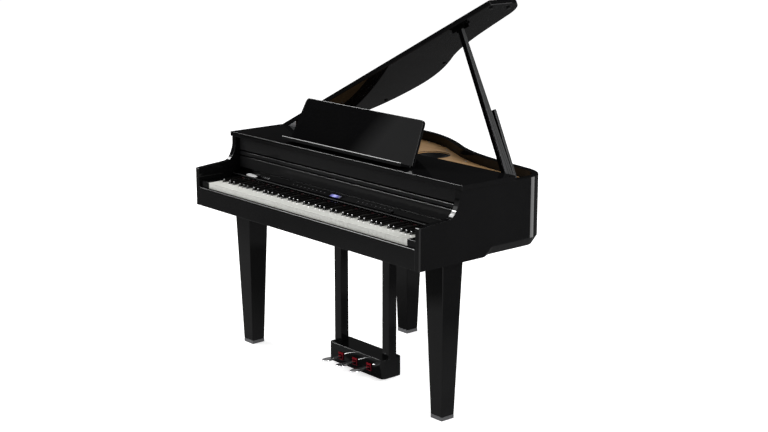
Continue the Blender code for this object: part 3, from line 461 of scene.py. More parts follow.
def piece(name, mesh, material, body, replaces=(), outward=False):
    """Turns a bmesh into a finished piece that rides on a body."""
    if outward:
        bmesh.ops.recalc_face_normals(mesh, faces=mesh.faces)
    data = bpy.data.meshes.new(name)
    mesh.to_mesh(data)
    mesh.free()
    data.materials.append(material)
    data.shade_smooth()
    data.set_sharp_from_angle(angle=SHARP_ANGLE)
    made = placed(name, data)
    weighted = made.modifiers.new("even_shading", "WEIGHTED_NORMAL")
    weighted.keep_sharp = True
    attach(made, body)
    if replaces:
        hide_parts(*replaces)
    return made


def moved(mesh, matrix):
    bmesh.ops.transform(mesh, matrix=matrix, verts=mesh.verts)
    return mesh


def turn_up(direction):
    """The matrix that turns +Z to a direction."""
    return Vector((0.0, 0.0, 1.0)).rotation_difference(Vector(direction)).to_matrix().to_4x4()


def bevel(mesh, width, segments=3, angle=30, chosen=None):
    """Rounds the edges that turn by more than an angle in degrees."""
    edges = [edge for edge in mesh.edges if edge.is_manifold]
    edges = [edge for edge in edges if edge.calc_face_angle() > math.radians(angle)]
    edges = [edge for edge in edges if chosen is None or chosen(edge)]
    bmesh.ops.bevel(mesh, geom=edges, offset=width, offset_type="OFFSET", segments=segments, profile=0.5,
                    affect="EDGES", clamp_overlap=True, material=-1)
    return mesh


def block(low, high, width=0.0, segments=3):
    """A box between two corners, with round edges."""
    mesh = bmesh.new()
    bmesh.ops.create_cube(mesh, size=1.0)
    low, high = Vector(low), Vector(high)
    bmesh.ops.scale(mesh, verts=mesh.verts, vec=high - low)
    bmesh.ops.translate(mesh, verts=mesh.verts, vec=(low + high) / 2)
    return bevel(mesh, width, segments) if width else mesh


def prism(points, along):
    """A flat outline pushed along a vector."""
    mesh = bmesh.new()
    face = mesh.faces.new([mesh.verts.new(point) for point in points])
    pushed = bmesh.ops.extrude_face_region(mesh, geom=[face])["geom"]
    verts = [item for item in pushed if isinstance(item, bmesh.types.BMVert)]
    bmesh.ops.translate(mesh, verts=verts, vec=along)
    bmesh.ops.recalc_face_normals(mesh, faces=mesh.faces)
    return mesh


def stacked(rings):
    """A closed solid through rings of as many points each."""
    mesh = bmesh.new()
    last = None
    for ring in rings:
        verts = [mesh.verts.new(point) for point in ring]
        edges = [mesh.edges.new((verts[i - 1], verts[i])) for i in range(len(verts))]
        if last is None:
            mesh.faces.new(verts)
        else:
            bmesh.ops.bridge_loops(mesh, edges=last + edges)
        last = edges
        top = verts
    mesh.faces.new(top)
    bmesh.ops.recalc_face_normals(mesh, faces=mesh.faces)
    return mesh


def rod(start, end, radius, sides):
    """A cylinder between two points."""
    mesh = bmesh.new()
    start, end = Vector(start), Vector(end)
    bmesh.ops.create_cone(mesh, cap_ends=True, segments=sides, radius1=radius, radius2=radius,
                          depth=(end - start).length)
    return moved(mesh, Matrix.Translation((start + end) / 2) @ turn_up(end - start))


def turned(centre, profile):
    """A solid turned round a vertical axis from (radius, height) points."""
    mesh = bmesh.new()
    chain = [mesh.verts.new((centre[0] + radius, centre[1], height)) for radius, height in profile]
    edges = [mesh.edges.new(pair) for pair in zip(chain, chain[1:])]
    bmesh.ops.spin(mesh, geom=chain + edges, cent=(centre[0], centre[1], 0.0), axis=(0.0, 0.0, 1.0),
                   angle=2 * math.pi, steps=TURNED_STEPS, use_merge=True)
    bmesh.ops.remove_doubles(mesh, verts=mesh.verts, dist=0.00001)
    bmesh.ops.recalc_face_normals(mesh, faces=mesh.faces)
    return mesh


def joined(parts):
    """Several meshes as one."""
    mesh = bmesh.new()
    for part in parts:
        data = bpy.data.meshes.new("part")
        part.to_mesh(data)
        part.free()
        mesh.from_mesh(data)
        bpy.data.meshes.remove(data)
    return mesh


def screw(place, normal, radius, height):
    """A round head with a recess, standing on a surface."""
    head = bmesh.new()
    bmesh.ops.create_cone(head, cap_ends=True, segments=24, radius1=radius, radius2=0.72 * radius,
                          depth=height)
    bmesh.ops.translate(head, verts=head.verts, vec=(0.0, 0.0, height / 2))
    top = max(head.faces, key=lambda face: face.calc_center_median().z)
    bmesh.ops.inset_region(head, faces=[top], thickness=0.3 * radius)
    bmesh.ops.inset_region(head, faces=[top], thickness=0.05 * radius, depth=-0.4 * height)
    return moved(head, Matrix.Translation(place) @ turn_up(normal))


def cad_copy(node):
    """A merged copy of a CAD node's mesh, with its flat faces whole again."""
    mesh = bmesh.new()
    mesh.from_mesh(frame["nodes"][node].data)
    bmesh.ops.remove_doubles(mesh, verts=mesh.verts, dist=0.00002)
    bmesh.ops.dissolve_limit(mesh, angle_limit=math.radians(0.5), verts=mesh.verts, edges=mesh.edges)
    return mesh


def dress(node, material):
    """Gives a CAD node its finish."""
    data = frame["nodes"][node].data
    data.materials.clear()
    data.materials.append(material)


def body_of(node):
    """The body that a CAD node belongs to."""
    return next(body for body, nodes in frame["record"]["behaviour"]["bodies"].items() if node in nodes)


def joint_place(name):
    """Where a joint turns."""
    return Vector(next(joint for joint in frame["joints"] if joint["name"] == name)["pos_m"])


def curve(start, first, second, end):
    """Points along a cubic curve, without its last point."""
    points = []
    for step in range(CURVE_STEPS):
        t = step / CURVE_STEPS
        u = 1 - t
        points.append(u ** 3 * start + 3 * u * u * t * first + 3 * u * t * t * second + t ** 3 * end)
    return points


def arc(centre, radius, start, stop, steps=8):
    """Points on a circle, from one angle in degrees to another."""
    angles = [math.radians(start + (stop - start) * step / steps) for step in range(steps + 1)]
    return [(centre[0] + radius * math.cos(a), centre[1] + radius * math.sin(a)) for a in angles]


def plan_path(right_start, left_end):
    """The case's plan from its right side round the tail to its left side, as points and their outward."""
    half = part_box("right_side")[1].x
    right = Vector((half, RIGHT_CURVE_START))
    left = Vector((-half, LEFT_CURVE_START))
    path = [Vector((half, right_start))]
    path += curve(right, right + RIGHT_RUN, CORNER_END - CORNER_RUN, CORNER_END)
    path += curve(CORNER_END, CORNER_END + CORNER_RUN_ON, BEND - BEND_RUN, BEND)
    path += curve(BEND, BEND + BEND_RUN_ON, TAIL - TAIL_RUN, TAIL)
    path += curve(TAIL, TAIL + TAIL_RUN_ON, left - LEFT_RUN, left)
    path += [left, Vector((-half, left_end))]
    runs = [(after - before).normalized() for before, after in zip(path, path[1:])]
    means = [(before + after).normalized() for before, after in zip(runs, runs[1:])]
    runs = [runs[0]] + means + [runs[-1]]
    return [(point, Vector((run.y, -run.x))) for point, run in zip(path, runs)]


def filleted(corners, radius, steps=3):
    """An outline of (across, up) corners with each corner rounded."""
    outline = []
    for index, corner in enumerate(corners):
        corner = Vector(corner)
        arms = [Vector(corners[index - 1]) - corner, Vector(corners[(index + 1) % len(corners)]) - corner]
        cut = radius / math.tan(arms[0].angle(arms[1]) / 2)
        cut = min(cut, 0.45 * arms[0].length, 0.45 * arms[1].length)
        start, end = (corner + cut * arm.normalized() for arm in arms)
        for step in range(steps + 1):
            share = step / steps
            outline.append(start.lerp(corner, share).lerp(corner.lerp(end, share), share))
    return outline


def wall_section(low, top, share, pulls=(0.0, 0.0, 0.0)):
    """A wall's section as (outward, height), with its lower outer edge chamfered by a share.

    The pulls draw the outer face, the top and the other faces in.
    """
    outer, upper, other = pulls
    inset = max(CHAMFER_IN * share, 0.0006)
    rise = max(CHAMFER_UP * share, 0.0006)
    corners = [(other - WALL, low + other), (-outer - inset, low + other), (-outer, low + other + rise),
               (-outer, top - upper), (other - WALL, top - upper)]
    return filleted(corners, CORNER_ROUND)


def board(node, width=0.0016, length_round=None, material=None):
    """A box-shaped CAD node with rounded edges, more so on those that run along the keyboard."""
    mesh = block(*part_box(node))
    if length_round:
        bevel(mesh, length_round, 5, 40, lambda edge: abs(edge.verts[0].co.x - edge.verts[1].co.x) > 0.01)
    bevel(mesh, width, 3, 40)
    return piece(node + "_board", mesh, material or EBONY_POLISH, body_of(node), (node,))


def side_stations(low, high, end):
    """Where a side's outline changes: depth, top height, share of the chamfer and the front's rounding."""
    front_top = low.z + ARM_RISE
    stations = []
    for y in (0.0, 0.0004, 0.0012, 0.0025, 0.004, 0.0055, ARM_CORNER_ROUND):
        pulls = tuple(radius - math.sqrt(radius ** 2 - (radius - min(y, radius)) ** 2)
                      for radius in (ARM_CORNER_ROUND, ARM_ROUND, 0.0015))
        stations.append((y, front_top + y * math.tan(ARM_SLOPE), 0.0, pulls))
    start = Vector((ARM_LENGTH, front_top + ARM_LENGTH * math.tan(ARM_SLOPE)))
    climb = high.z - start.y
    scroll = Vector((ARM_LENGTH + SCROLL_DEPTH, high.z - SCROLL_END_DROP * climb))
    first = start + SCROLL_FLAT * SCROLL_DEPTH * Vector((1.0, math.tan(ARM_SLOPE)))
    second = start + Vector((SCROLL_TURN[0] * SCROLL_DEPTH, SCROLL_TURN[1] * climb))
    level = (0.0, 0.0, 0.0)
    stations += [(point.x, point.y, 0.0, level) for point in curve(start, first, second, scroll)]
    stations += [(scroll.x - 0.0001, scroll.y, 0.0, level), (scroll.x, high.z - 0.0001, 0.0, level)]
    for step in range(13):
        t = step / 12
        stations.append((CHAMFER_START + t * CHAMFER_RUN, high.z, t * t * (3 - 2 * t), level))
    return stations + [(end, high.z, 1.0, level)]


def make_sides():
    for node, side in (("right_side", 1), ("left_side", -1)):
        low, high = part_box(node)
        outer = high.x if side > 0 else low.x
        rings = []
        for y, top, share, pulls in side_stations(low, high, high.y - FRONT):
            section = wall_section(low.z, top, share, pulls)
            rings.append([at(outer + side * out, y, z) for out, z in section])
        piece(node + "_panel", stacked(rings), EBONY_POLISH, "case", (node,))


def make_rim():
    low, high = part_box("curved_rim")
    path = plan_path(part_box("right_side")[1].y - FRONT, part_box("left_side")[1].y - FRONT)
    section = wall_section(low.z, high.z, 1.0)
    rings = [[at(*(point + out * outward), z) for out, z in section] for point, outward in path]
    piece("bent_rim", stacked(rings), EBONY_POLISH, "case", ("curved_rim",))


def lid_frame():
    """The matrix that opens a closed lid about its hinge line."""
    hinge = joint_place("lid_raise")
    turn = Matrix.Rotation(-LID_OPEN, 4, "Y")
    return Matrix.Translation(hinge) @ turn @ Matrix.Translation(-hinge)


def make_lid():
    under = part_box("left_side")[1].z + 0.0006
    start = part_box("top_board")[1].y - FRONT + 0.0015
    outline = [point + LID_OVERHANG * outward for point, outward in plan_path(start, start)]
    mesh = prism([at(*point, under) for point in outline], (0.0, 0.0, LID_THICK))
    opened = lid_frame()
    mesh = moved(bevel(mesh, 0.0032, 4, 40), opened)
    piece("lid_panel", mesh, EBONY_POLISH, "lid", ("lid",))
    dots = []
    for x, y in ((0.666, 0.487), (0.655, 0.585), (0.02, 0.800), (-0.45, 0.850)):
        foot = at(x, y, under)
        dots.append(bevel(rod(foot, foot - Vector((0, 0, 0.005)), 0.0075, 24), 0.0012, 3, 40))
    piece("lid_bumpers", moved(joined(dots), opened), RUBBER, "lid")
    mesh = prism([at(x, 0.456, z) for x, z in ((-0.656, under), (-0.593, under), (-0.612, under - 0.032))],
                 (0.0, 0.0022, 0.0))
    piece("lid_gusset", moved(bevel(mesh, 0.0006, 2, 40), opened), HINGE_STEEL, "lid")


def make_hinge():
    """Piano hinge: a leaf with screws and a row of knuckles."""
    low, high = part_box("lid_hinge")
    centre = joint_place("lid_raise")
    leaf = block((high.x - 0.0048, low.y, low.z), (high.x, high.y, centre.z - 0.0006), 0.0003, 1)
    knuckle = 0.020
    count = int((high.y - low.y) / knuckle)
    parts = [leaf]
    for index in range(count):
        start = low.y + index * knuckle
        parts.append(bevel(rod((centre.x, start, centre.z), (centre.x, start + knuckle - 0.0007, centre.z),
                               0.0024, 16), 0.0003, 1, 40))
    for index in range(6):
        y = low.y + (index + 0.5) * (high.y - low.y) / 6
        parts.append(screw((high.x - 0.0048, y, low.z + 0.0055), (-1, 0, 0), 0.0028, 0.0008))
    piece("piano_hinge", joined(parts), HINGE_STEEL, "case", ("lid_hinge",))


def make_boards():
    board("top_board", 0.0010, 0.0013)
    board("upper_fascia", 0.0016, None, EBONY_SATIN)
    board("lower_fascia", 0.0012, 0.0028, EBONY_SATIN)
    board("key_slip", 0.0016, 0.0025)
    board("left_key_block")
    board("right_key_block")
    board("cover_grip", 0.0016, 0.0030, EBONY_SATIN)
    low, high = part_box("control_panel")
    front, rear = PANEL_FACE
    corners = [(low.y, low.z), (high.y, low.z), (high.y, high.z), (rear.y, high.z), (rear.y, rear.z),
               (front.y, front.z)]
    outline = [(low.x, y, z) for y, z in filleted(corners, 0.0014)]
    mesh = prism(outline, (high.x - low.x, 0.0, 0.0))
    piece("control_panel_board", mesh, PANEL_GLOSS, "case", ("control_panel",),
          outward=True)
    dress("keybed", BLACK_BOARD)
    dress("bottom_board", BLACK_BOARD)
    dress("key_frame", RAW_BOARD)
    dress("key_cover", PANEL_GLOSS)
    dress("soundboard", SPRUCE)
    dress("amplifier_board", HINGE_STEEL)


def keyboard():
    """Every key from the bass: its note, and its left and right."""
    keys = []
    natural = 0
    for number in range(KEYS):
        note = OCTAVE[number % len(OCTAVE)]
        edge = natural * KEY_PITCH - KEYBOARD_WIDTH / 2
        if note in SHARP_OFFSETS:
            centre = edge + SHARP_OFFSETS[note]
            keys.append((note, centre - SHARP_WIDTH / 2, centre + SHARP_WIDTH / 2))
        else:
            keys.append((note, edge + KEY_GAP / 2, edge + KEY_PITCH - KEY_GAP / 2))
            natural += 1
    return keys


def natural_key(keys, number, low, high):
    """A natural: its body and the plate on top with a small lip in front."""
    left, right = keys[number][1:]
    tails = [left, right]
    if number > 0 and keys[number - 1][0] in SHARP_OFFSETS:
        tails[0] = keys[number - 1][2] + KEY_GAP
    if number < KEYS - 1 and keys[number + 1][0] in SHARP_OFFSETS:
        tails[1] = keys[number + 1][1] - KEY_GAP
    notch = sharp_front() - NOTCH
    parts = []
    for front, bottom, top, width in ((low.y + KEY_LIP, low.z, high - KEY_PLATE, 0.0004),
                                      (low.y, high - KEY_PLATE, high, 0.0007)):
        outline = [(left, front), (right, front)]
        outline += [(right, notch), (tails[1], notch)] if tails[1] < right else []
        outline += [(tails[1], KEY_REAR), (tails[0], KEY_REAR)]
        outline += [(tails[0], notch), (left, notch)] if tails[0] > left else []
        mesh = prism([(x, y, bottom) for x, y in outline], (0.0, 0.0, top - bottom))
        parts.append(bevel(mesh, width, 2, 40))
    return joined(parts)


def sharp_front():
    """Where the raised part of the sharps begins."""
    return KEY_PANEL - 0.006 - SHARP_LENGTH


def sharp_key(keys, number, low, high):
    """A sharp: a tapered cap with a sloped front on a narrow body."""
    left, right = keys[number][1:]
    rear = sharp_front() + SHARP_LENGTH
    foot = block((left + 0.0006, sharp_front() + 0.001, low.z), (right - 0.0006, KEY_REAR, high - 0.002))
    cap = block((left, sharp_front(), high - 0.004), (right, rear, high + 0.012))
    for vert in cap.verts:
        if vert.co.z > high:
            vert.co.x += SHARP_TAPER if vert.co.x < (left + right) / 2 else -SHARP_TAPER
            if vert.co.y < rear - 0.01:
                vert.co.y += SHARP_SLOPE
    return joined([foot, bevel(cap, 0.0024, 4, 30)])


def make_keys():
    keys = keyboard()
    low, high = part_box("key_C")
    high = high.z
    groups = [("bass_keys", range(0, FIRST_SINGLE)), ("treble_keys", range(LAST_SINGLE + 1, KEYS))]
    for body, numbers in groups:
        white = [natural_key(keys, n, low, high) for n in numbers if keys[n][0] not in SHARP_OFFSETS]
        black = [sharp_key(keys, n, low, high) for n in numbers if keys[n][0] in SHARP_OFFSETS]
        piece(body + "_naturals", joined(white), IVORY_KEYS, body, (body,))
        piece(body + "_sharps", joined(black), EBONY_KEYS, body)
    for number in range(FIRST_SINGLE, LAST_SINGLE + 1):
        body = "key_" + keys[number][0]
        if keys[number][0] in SHARP_OFFSETS:
            piece(body + "_sharp", sharp_key(keys, number, low, high), EBONY_KEYS, body,
                  (body,))
        else:
            piece(body + "_natural", natural_key(keys, number, low, high), IVORY_KEYS, body,
                  (body,))
    strip_low = (-KEYBOARD_WIDTH / 2, KEY_PANEL - 0.0016, high + 0.0008)
    strip = block(strip_low, (KEYBOARD_WIDTH / 2, KEY_PANEL - 0.0003, high + 0.0050), 0.0004, 2)
    piece("key_felt", strip, MAROON_FELT, "case")


def on_panel(mesh, x, along=0.0):
    """Lays a mesh built flat round the origin onto the control panel's slope."""
    low, high = PANEL_FACE
    slope = math.atan2(high.z - low.z, high.y - low.y)
    middle = (low + high) / 2 + along * (high - low).normalized()
    return moved(mesh, Matrix.Translation((x, middle.y, middle.z)) @ Matrix.Rotation(slope, 4, "X"))


def pill(long, wide, high, lift=0.0):
    """A flat plate with round ends."""
    reach = (long - wide) / 2
    outline = arc((reach, 0), wide / 2, -90, 90) + arc((-reach, 0), wide / 2, 90, 270)
    return prism([(x, y, lift) for x, y in outline], (0.0, 0.0, high))


def make_controls():
    bezel = bevel(pill(0.070, 0.0165, 0.0010), 0.0004, 2, 40)
    piece("slider_bezel", on_panel(bezel, *BEZEL_PLACE), SILVER, "case")
    groove = pill(0.050, 0.003, 0.0003, 0.00101)
    piece("slider_groove", on_panel(groove, SLIDER_X), MOULDED_BLACK, "case")
    cap = pill(0.026, 0.012, 0.0044, 0.0016)
    for vert in cap.verts:
        if vert.co.z > 0.004:
            vert.co.x *= 0.90
            vert.co.y *= 0.80
    bevel(cap, 0.0010, 3, 40)
    piece("slider_cap", on_panel(cap, SLIDER_X), MOULDED_BLACK, "volume_slider",
          ("volume_slider",))
    dress("display_window", DISPLAY_LIGHT)
    dress("power_button", MOULDED_BLACK)
    button = sum(corner.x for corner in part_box("power_button")) / 2
    dim = []
    for place in [start + index * step for start, step in DIM_ROWS for index in range(DIM_COUNT)]:
        if abs(place - button) > BUTTON_CLEAR:
            dim.append(on_panel(pill(0.0060, 0.0030, 0.0006, PRINT_LIFT), place, 0.005))
            dim.append(on_panel(pill(0.0022, 0.0014, PRINT_THICK, PRINT_LIFT), place, -0.003))
    piece("panel_buttons", joined(dim), DIM_PRINT_AND_PAINTED_HIGHLIGHT, "case")
    scale = [on_panel(pill(0.0030, wide, PRINT_THICK, PRINT_LIFT), place, -0.001) for place, wide in MARKS]
    piece("volume_marks", joined(scale), PRINTED_GREY, "case")
    # A dim line along the front edge of the panel's slope: a painted highlight of that edge
    low, high = PANEL_FACE
    reach = (high - low).length / 2 - 0.0016
    line = pill(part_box("control_panel")[1].x * 2 - 0.010, 0.0011, PRINT_THICK, PRINT_LIFT)
    piece("panel_line", on_panel(line, 0.0, -reach), DIM_PRINT_AND_PAINTED_HIGHLIGHT, "case")


def make_rest():
    pivot = joint_place("music_rest_fold")
    lean = Matrix.Rotation(-REST_LEAN, 4, "X")
    top = REST_TALL - REST_BELOW_PIVOT
    corners = [(-REST_HALF_BOTTOM, -REST_BELOW_PIVOT), (REST_HALF_BOTTOM, -REST_BELOW_PIVOT),
               (REST_HALF_TOP, top), (-REST_HALF_TOP, top)]
    outline = corners[:2] + [tuple(point) for point in filleted(corners, REST_CORNER, 8)[18:]]
    mesh = prism([(x, -0.0032, z) for x, z in outline], (0.0, -REST_THICK, 0.0))
    mesh = moved(bevel(mesh, 0.0018, 3, 40), Matrix.Translation(pivot) @ lean)
    piece("rest_panel", mesh, EBONY_POLISH, "music_rest", ("music_rest",), outward=True)
    mesh = cad_copy("music_ledge")
    crest = max(vert.co.z for vert in mesh.verts)
    front = min(vert.co.y for vert in mesh.verts)
    for vert in mesh.verts:
        if vert.co.y < front + 0.004 and vert.co.z < crest - 0.004:
            vert.co.z -= 0.004
    bevel(mesh, 0.0040, 6, 25, lambda edge: all(vert.co.z > crest - 0.0002 for vert in edge.verts))
    bevel(mesh, 0.0008, 2, 40)
    piece("rest_ledge", mesh, EBONY_POLISH, "music_rest", ("music_ledge",))
    dress("rest_hinge", SATIN_BLACK)
    mesh = bevel(cad_copy("rest_stay"), 0.0012, 2, 40)
    piece("stay_plate", mesh, SATIN_BLACK, "rest_stay", ("rest_stay",))


def prop_strip(quad, across, thick):
    """A flat strip along a prop's side, between two shares of its width."""
    front_foot, rear_foot, rear_head, front_head = quad
    corners = []
    for share, order in zip(across, (1, -1)):
        foot, head = front_foot.lerp(rear_foot, share), front_head.lerp(rear_head, share)
        corners += [foot.lerp(head, 0.015), head.lerp(foot, 0.015)][::order]
    normal = (rear_foot - front_foot).cross(front_head - front_foot).normalized()
    strip = prism([corner - STRIP_SUNK * normal for corner in corners], (STRIP_SUNK + thick) * normal)
    return bevel(strip, 0.0003, 2, 40)


def make_props():
    for node, ribs, bead in PROPS:
        mesh = cad_copy(node)
        side = max(mesh.faces, key=lambda face: face.normal.x * face.calc_area())
        low_first = sorted((vert.co.copy() for vert in side.verts), key=lambda corner: corner.z)
        foot, head = (sorted(pair, key=lambda corner: corner.y) for pair in (low_first[:2], low_first[2:]))
        quad = (foot[0], foot[1], head[1], head[0])
        bevel(mesh, 0.0012, 3, 40)
        piece(node + "_bar", mesh, PANEL_GLOSS, node, (node,))
        # Grey ribs go only on the side towards +X: a painted lighter side where the light falls
        faces = joined([prop_strip(quad, across, 0.0005) for across in ribs])
        piece(node + "_ribs", faces, RIB_GREY_PAINTED_LIGHT, node)
        piece(node + "_bead", prop_strip(quad, bead, 0.0009), FERRULE_STEEL, node)
    mesh = bevel(cad_copy("prop_bracket"), 0.0006, 2, 40)
    low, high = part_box("prop_bracket")
    pin = joint_place("long_prop_fold")
    heads = [bevel(rod((pin.x, y, pin.z), (pin.x, y + 0.0015, pin.z), 0.005, 24), 0.0005, 2, 40)
             for y in (low.y - 0.0015, high.y)]
    piece("bracket_plate", mesh, PANEL_GLOSS, "case", ("prop_bracket",))
    piece("bracket_pins", joined(heads), HINGE_STEEL, "case")
    mesh = bevel(cad_copy("prop_socket"), 0.0006, 2, 40)
    piece("socket_plate", mesh, PANEL_GLOSS, "lid", ("prop_socket",))


def make_inside():
    board_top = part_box("soundboard")[1].z
    for node in ("right_speaker", "left_speaker"):
        low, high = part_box(node)
        centre = (low + high) / 2
        profile = [(radius, board_top - depth) for radius, depth in SPEAKER]
        piece(node + "_cone", turned(centre, profile), MOULDED_BLACK, "case", (node,))
        reach = (high.x - low.x) / 2 - 0.0085
        ring = [(reach + outward, board_top + up) for outward, up in RING]
        piece(node + "_ring", turned(centre, ring), MOULDED_BLACK, "case")
    edge = [point - (WALL + 0.014) * outward for point, outward in plan_path(0.50, 0.50)]
    heads = [screw(at(*point, board_top), (0, 0, 1), 0.0045, 0.0018)
             for point in edge[6:-6:CURVE_STEPS // 2]]
    piece("soundboard_screws", joined(heads), HINGE_STEEL, "case")


def square(centre, half, height):
    """The corners of a level square."""
    return [(centre[0] + x * half, centre[1] + y * half, height)
            for x, y in ((-1, -1), (1, -1), (1, 1), (-1, 1))]


def make_legs():
    screws = []
    for name in ("front_left", "front_right", "rear"):
        low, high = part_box(name + "_leg")
        centre = (low + high) / 2
        shoulder = high.z - LEG_PLATE_THICK
        leg = stacked([square(centre, LEG_FOOT / 2, low.z), square(centre, LEG_HEAD / 2, shoulder)])
        bevel(leg, 0.002, 3, 30)
        plate = block((low.x, low.y, shoulder), high, 0.0015, 3)
        piece(name + "_leg_post", joined([leg, plate]), EBONY_POLISH, "case",
              (name + "_leg",))
        low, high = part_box(name + "_ferrule")
        piece(name + "_shoe", block(low, high, 0.0012, 3), FERRULE_STEEL, "case",
              (name + "_ferrule",))
        screws += [screw(corner, (0, 0, -1), 0.004, 0.0015)
                   for corner in square(centre, LEG_SCREW_REACH, shoulder)]
    piece("leg_screws", joined(screws), HINGE_STEEL, "case")


def pedal_mesh(low, high):
    """A crowned pedal with a spoon end, through oval sections along its length."""
    middle = (low.x + high.x) / 2
    rear, front = high.y, low.y
    half = (high.x - low.x) / 2
    stations = [(0.0, 0.0075), (0.30, 0.0075), (0.52, 0.0080), (0.62, 0.0100), (0.72, 0.0145),
                (0.80, 0.0180), (0.87, half), (0.93, 0.0175), (0.97, 0.0130), (0.992, 0.0070),
                (1.0, 0.0020)]
    rings = []
    for share, reach in stations:
        y = rear + share * (front - rear)
        crown = 0.0035 if share < 0.6 else 0.0035 * (1 - 0.20 * (share - 0.6) / 0.4)
        ring = []
        for step in range(20):
            angle = 2 * math.pi * step / 20
            across, up = math.cos(angle), math.sin(angle)
            flat = 0.85 if up < 0 else 1.0
            ring.append((middle + reach * math.copysign(abs(across) ** 0.5, across), y,
                         (low.z + high.z) / 2 + crown * flat * math.copysign(abs(up) ** 0.5, up)))
        rings.append(ring)
    return stacked(rings)


def make_lyre():
    for node in ("left_column", "right_column"):
        board(node, 0.002)
    low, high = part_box("pedal_box")
    mesh = bevel(cad_copy("pedal_box"), 0.0022, 3, 60, lambda edge: all(
        min(abs(vert.co.z - low.z), abs(vert.co.z - high.z)) < 0.0002 for vert in edge.verts))
    piece("pedal_housing", mesh, EBONY_POLISH, "case", ("pedal_box",))
    pads = []
    sides = []
    for node in ("soft_pedal", "middle_pedal", "damper_pedal"):
        tip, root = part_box(node)
        made = piece(node + "_spoon", pedal_mesh(tip, root), CHROME, node, (node,), outward=True)
        rounder = made.modifiers.new("rounder", "SUBSURF")
        rounder.levels = 2
        rounder.render_levels = 2
        middle = (tip.x + root.x) / 2
        upper = root.z + 0.0032
        lower = tip.z - 0.0088
        rear = low.y - FELT_GAP
        front = low.y - FELT_DEPTH
        pads.append(block((middle - FELT_HALF, front - 0.0005, upper),
                          (middle + FELT_HALF, rear, upper + 0.0085), 0.0020, 3))
        # The side and bottom felts round each pedal take the darker felt: painted shade below the pad
        for side in (-1, 1):
            edge = sorted((middle + side * FELT_INNER, middle + side * FELT_HALF))
            sides.append(block((edge[0], front, lower - 0.003), (edge[1], rear, upper - 0.0001), 0.0018, 3))
        sides.append(block((middle - FELT_INNER + 0.0002, front, lower - 0.003),
                           (middle + FELT_INNER - 0.0002, rear, lower), 0.001, 2))
    piece("pedal_felts", joined(pads), RED_FELT, "case")
    piece("lower_felts", joined(sides), FELT_PAINTED_SHADE, "case")


def make_inlet():
    mesh = bevel(cad_copy("power_inlet"), 0.0008, 2, 40)
    piece("inlet_housing", mesh, MOULDED_BLACK, "case", ("power_inlet",))
    low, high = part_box("power_inlet")
    middle = (low + high) / 2
    blades = []
    for x, z in ((-0.007, -0.003), (0.0, 0.003), (0.007, -0.003)):
        start = Vector((middle.x + x, high.y - 0.0199, middle.z + z))
        blades.append(block(start - Vector((0.001, 0.0, 0.002)), start + Vector((0.001, 0.014, 0.002)),
                            0.0003, 2))
    piece("inlet_blades", joined(blades), HINGE_STEEL, "case")


def mirrored_floor(tree):
    """How bright polished surfaces mirror the floor: pale in front and on the right, dark far off, with a painted
    shadow round the pedals.
    """
    place = tree.node("ShaderNodeTexCoord", output="Object")
    x = tree.part(place, 0)
    y = tree.part(place, 1)
    far = tree.distance(place)
    ahead = 1.0 - tree.between(y, -0.4, 0.2)
    near = 0.90 - 0.42 * tree.between(far, 1.9, 3.0) - 0.38 * tree.between(far, 4.7, 5.5)
    shade = tree.between(tree.distance(place, (-0.62, -1.36, 0.0)), 0.20, 0.45)
    near = near * (0.25 + 0.75 * shade)
    # Painted shadow on the floor round the pedals, behind their front tips, that polished surfaces mirror
    spoons = tree.between(tree.distance(place, (0.0, -0.22, 0.0)), 0.15, 0.19)
    under = tree.between(y, -0.325, -0.295) * (1.0 - spoons)
    near = near * (1.0 - 0.92 * under)
    left = 1.0 - tree.between(x, -0.8, -0.2)
    behind = 0.28 + 0.34 * tree.between(far, 0.72, 0.85) - 0.36 * tree.between(far, 1.1, 1.5)
    behind = behind + 0.09 * tree.between(far, 2.0, 3.2) - 0.11 * left * tree.between(y, 0.5, 1.0)
    beside = 2.2 * tree.between(x, -0.3, 0.3) * tree.between(far, 1.5, 2.2)
    card = 1.0 - tree.between(far, 5.4, 5.45)
    for angle, turn in zip(CARD_ANGLES, (1.0, -1.0)):
        across = (y - CARD_CENTRE[1]) * math.cos(angle) - (x - CARD_CENTRE[0]) * math.sin(angle)
        card = card * tree.between(turn * across, 0.0, 0.01)
    return ahead * (near + beside) + (1.0 - ahead) * behind + 11.5 * card * tree.between(far, 2.4, 2.45)


def mirrored_studio(tree):
    """How bright polished surfaces mirror the room: dark, with soft cards in front and above."""
    toward = tree.node("ShaderNodeTexCoord", output="Generated")
    edge = math.radians(36.0)
    aside = tree.along(toward, (math.sin(edge), -math.cos(edge), 0.0))
    height = tree.part(toward, 2)
    card = tree.between(aside, -0.006, 0.008) * tree.band(height, (0.05, 0.20), (0.45, 0.60))
    ahead = tree.between(tree.along(toward, (0.759, -0.651, 0.0)), 0.35, 0.55)
    low = 0.3 * tree.between(aside, -0.18, -0.02) + 0.7 * tree.between(aside, -0.01, 0.02)
    low = low * (1.0 - tree.between(aside, 0.08, 0.10)) * tree.band(height, (0.43, 0.44), (0.50, 0.51))
    depth = tree.part(toward, 1)
    behind = tree.between(depth, -0.2, 0.2) * tree.band(height, (0.27, 0.31), (0.40, 0.45))
    over = tree.band(depth, (-0.50, -0.42), (-0.02, 0.06)) * tree.band(height, (0.50, 0.54), (0.72, 0.76))
    over = over * tree.band(tree.part(toward, 0), (-0.86, -0.82), (-0.66, -0.62))
    return 0.036 + 1.2 * card + 2.0 * ahead + 170.0 * low + 0.14 * behind + 42.0 * over


def emptied(owner):
    """The empty node tree of a material or a world."""
    owner.use_nodes = True
    owner.node_tree.nodes.clear()
    return Tree(owner.node_tree)


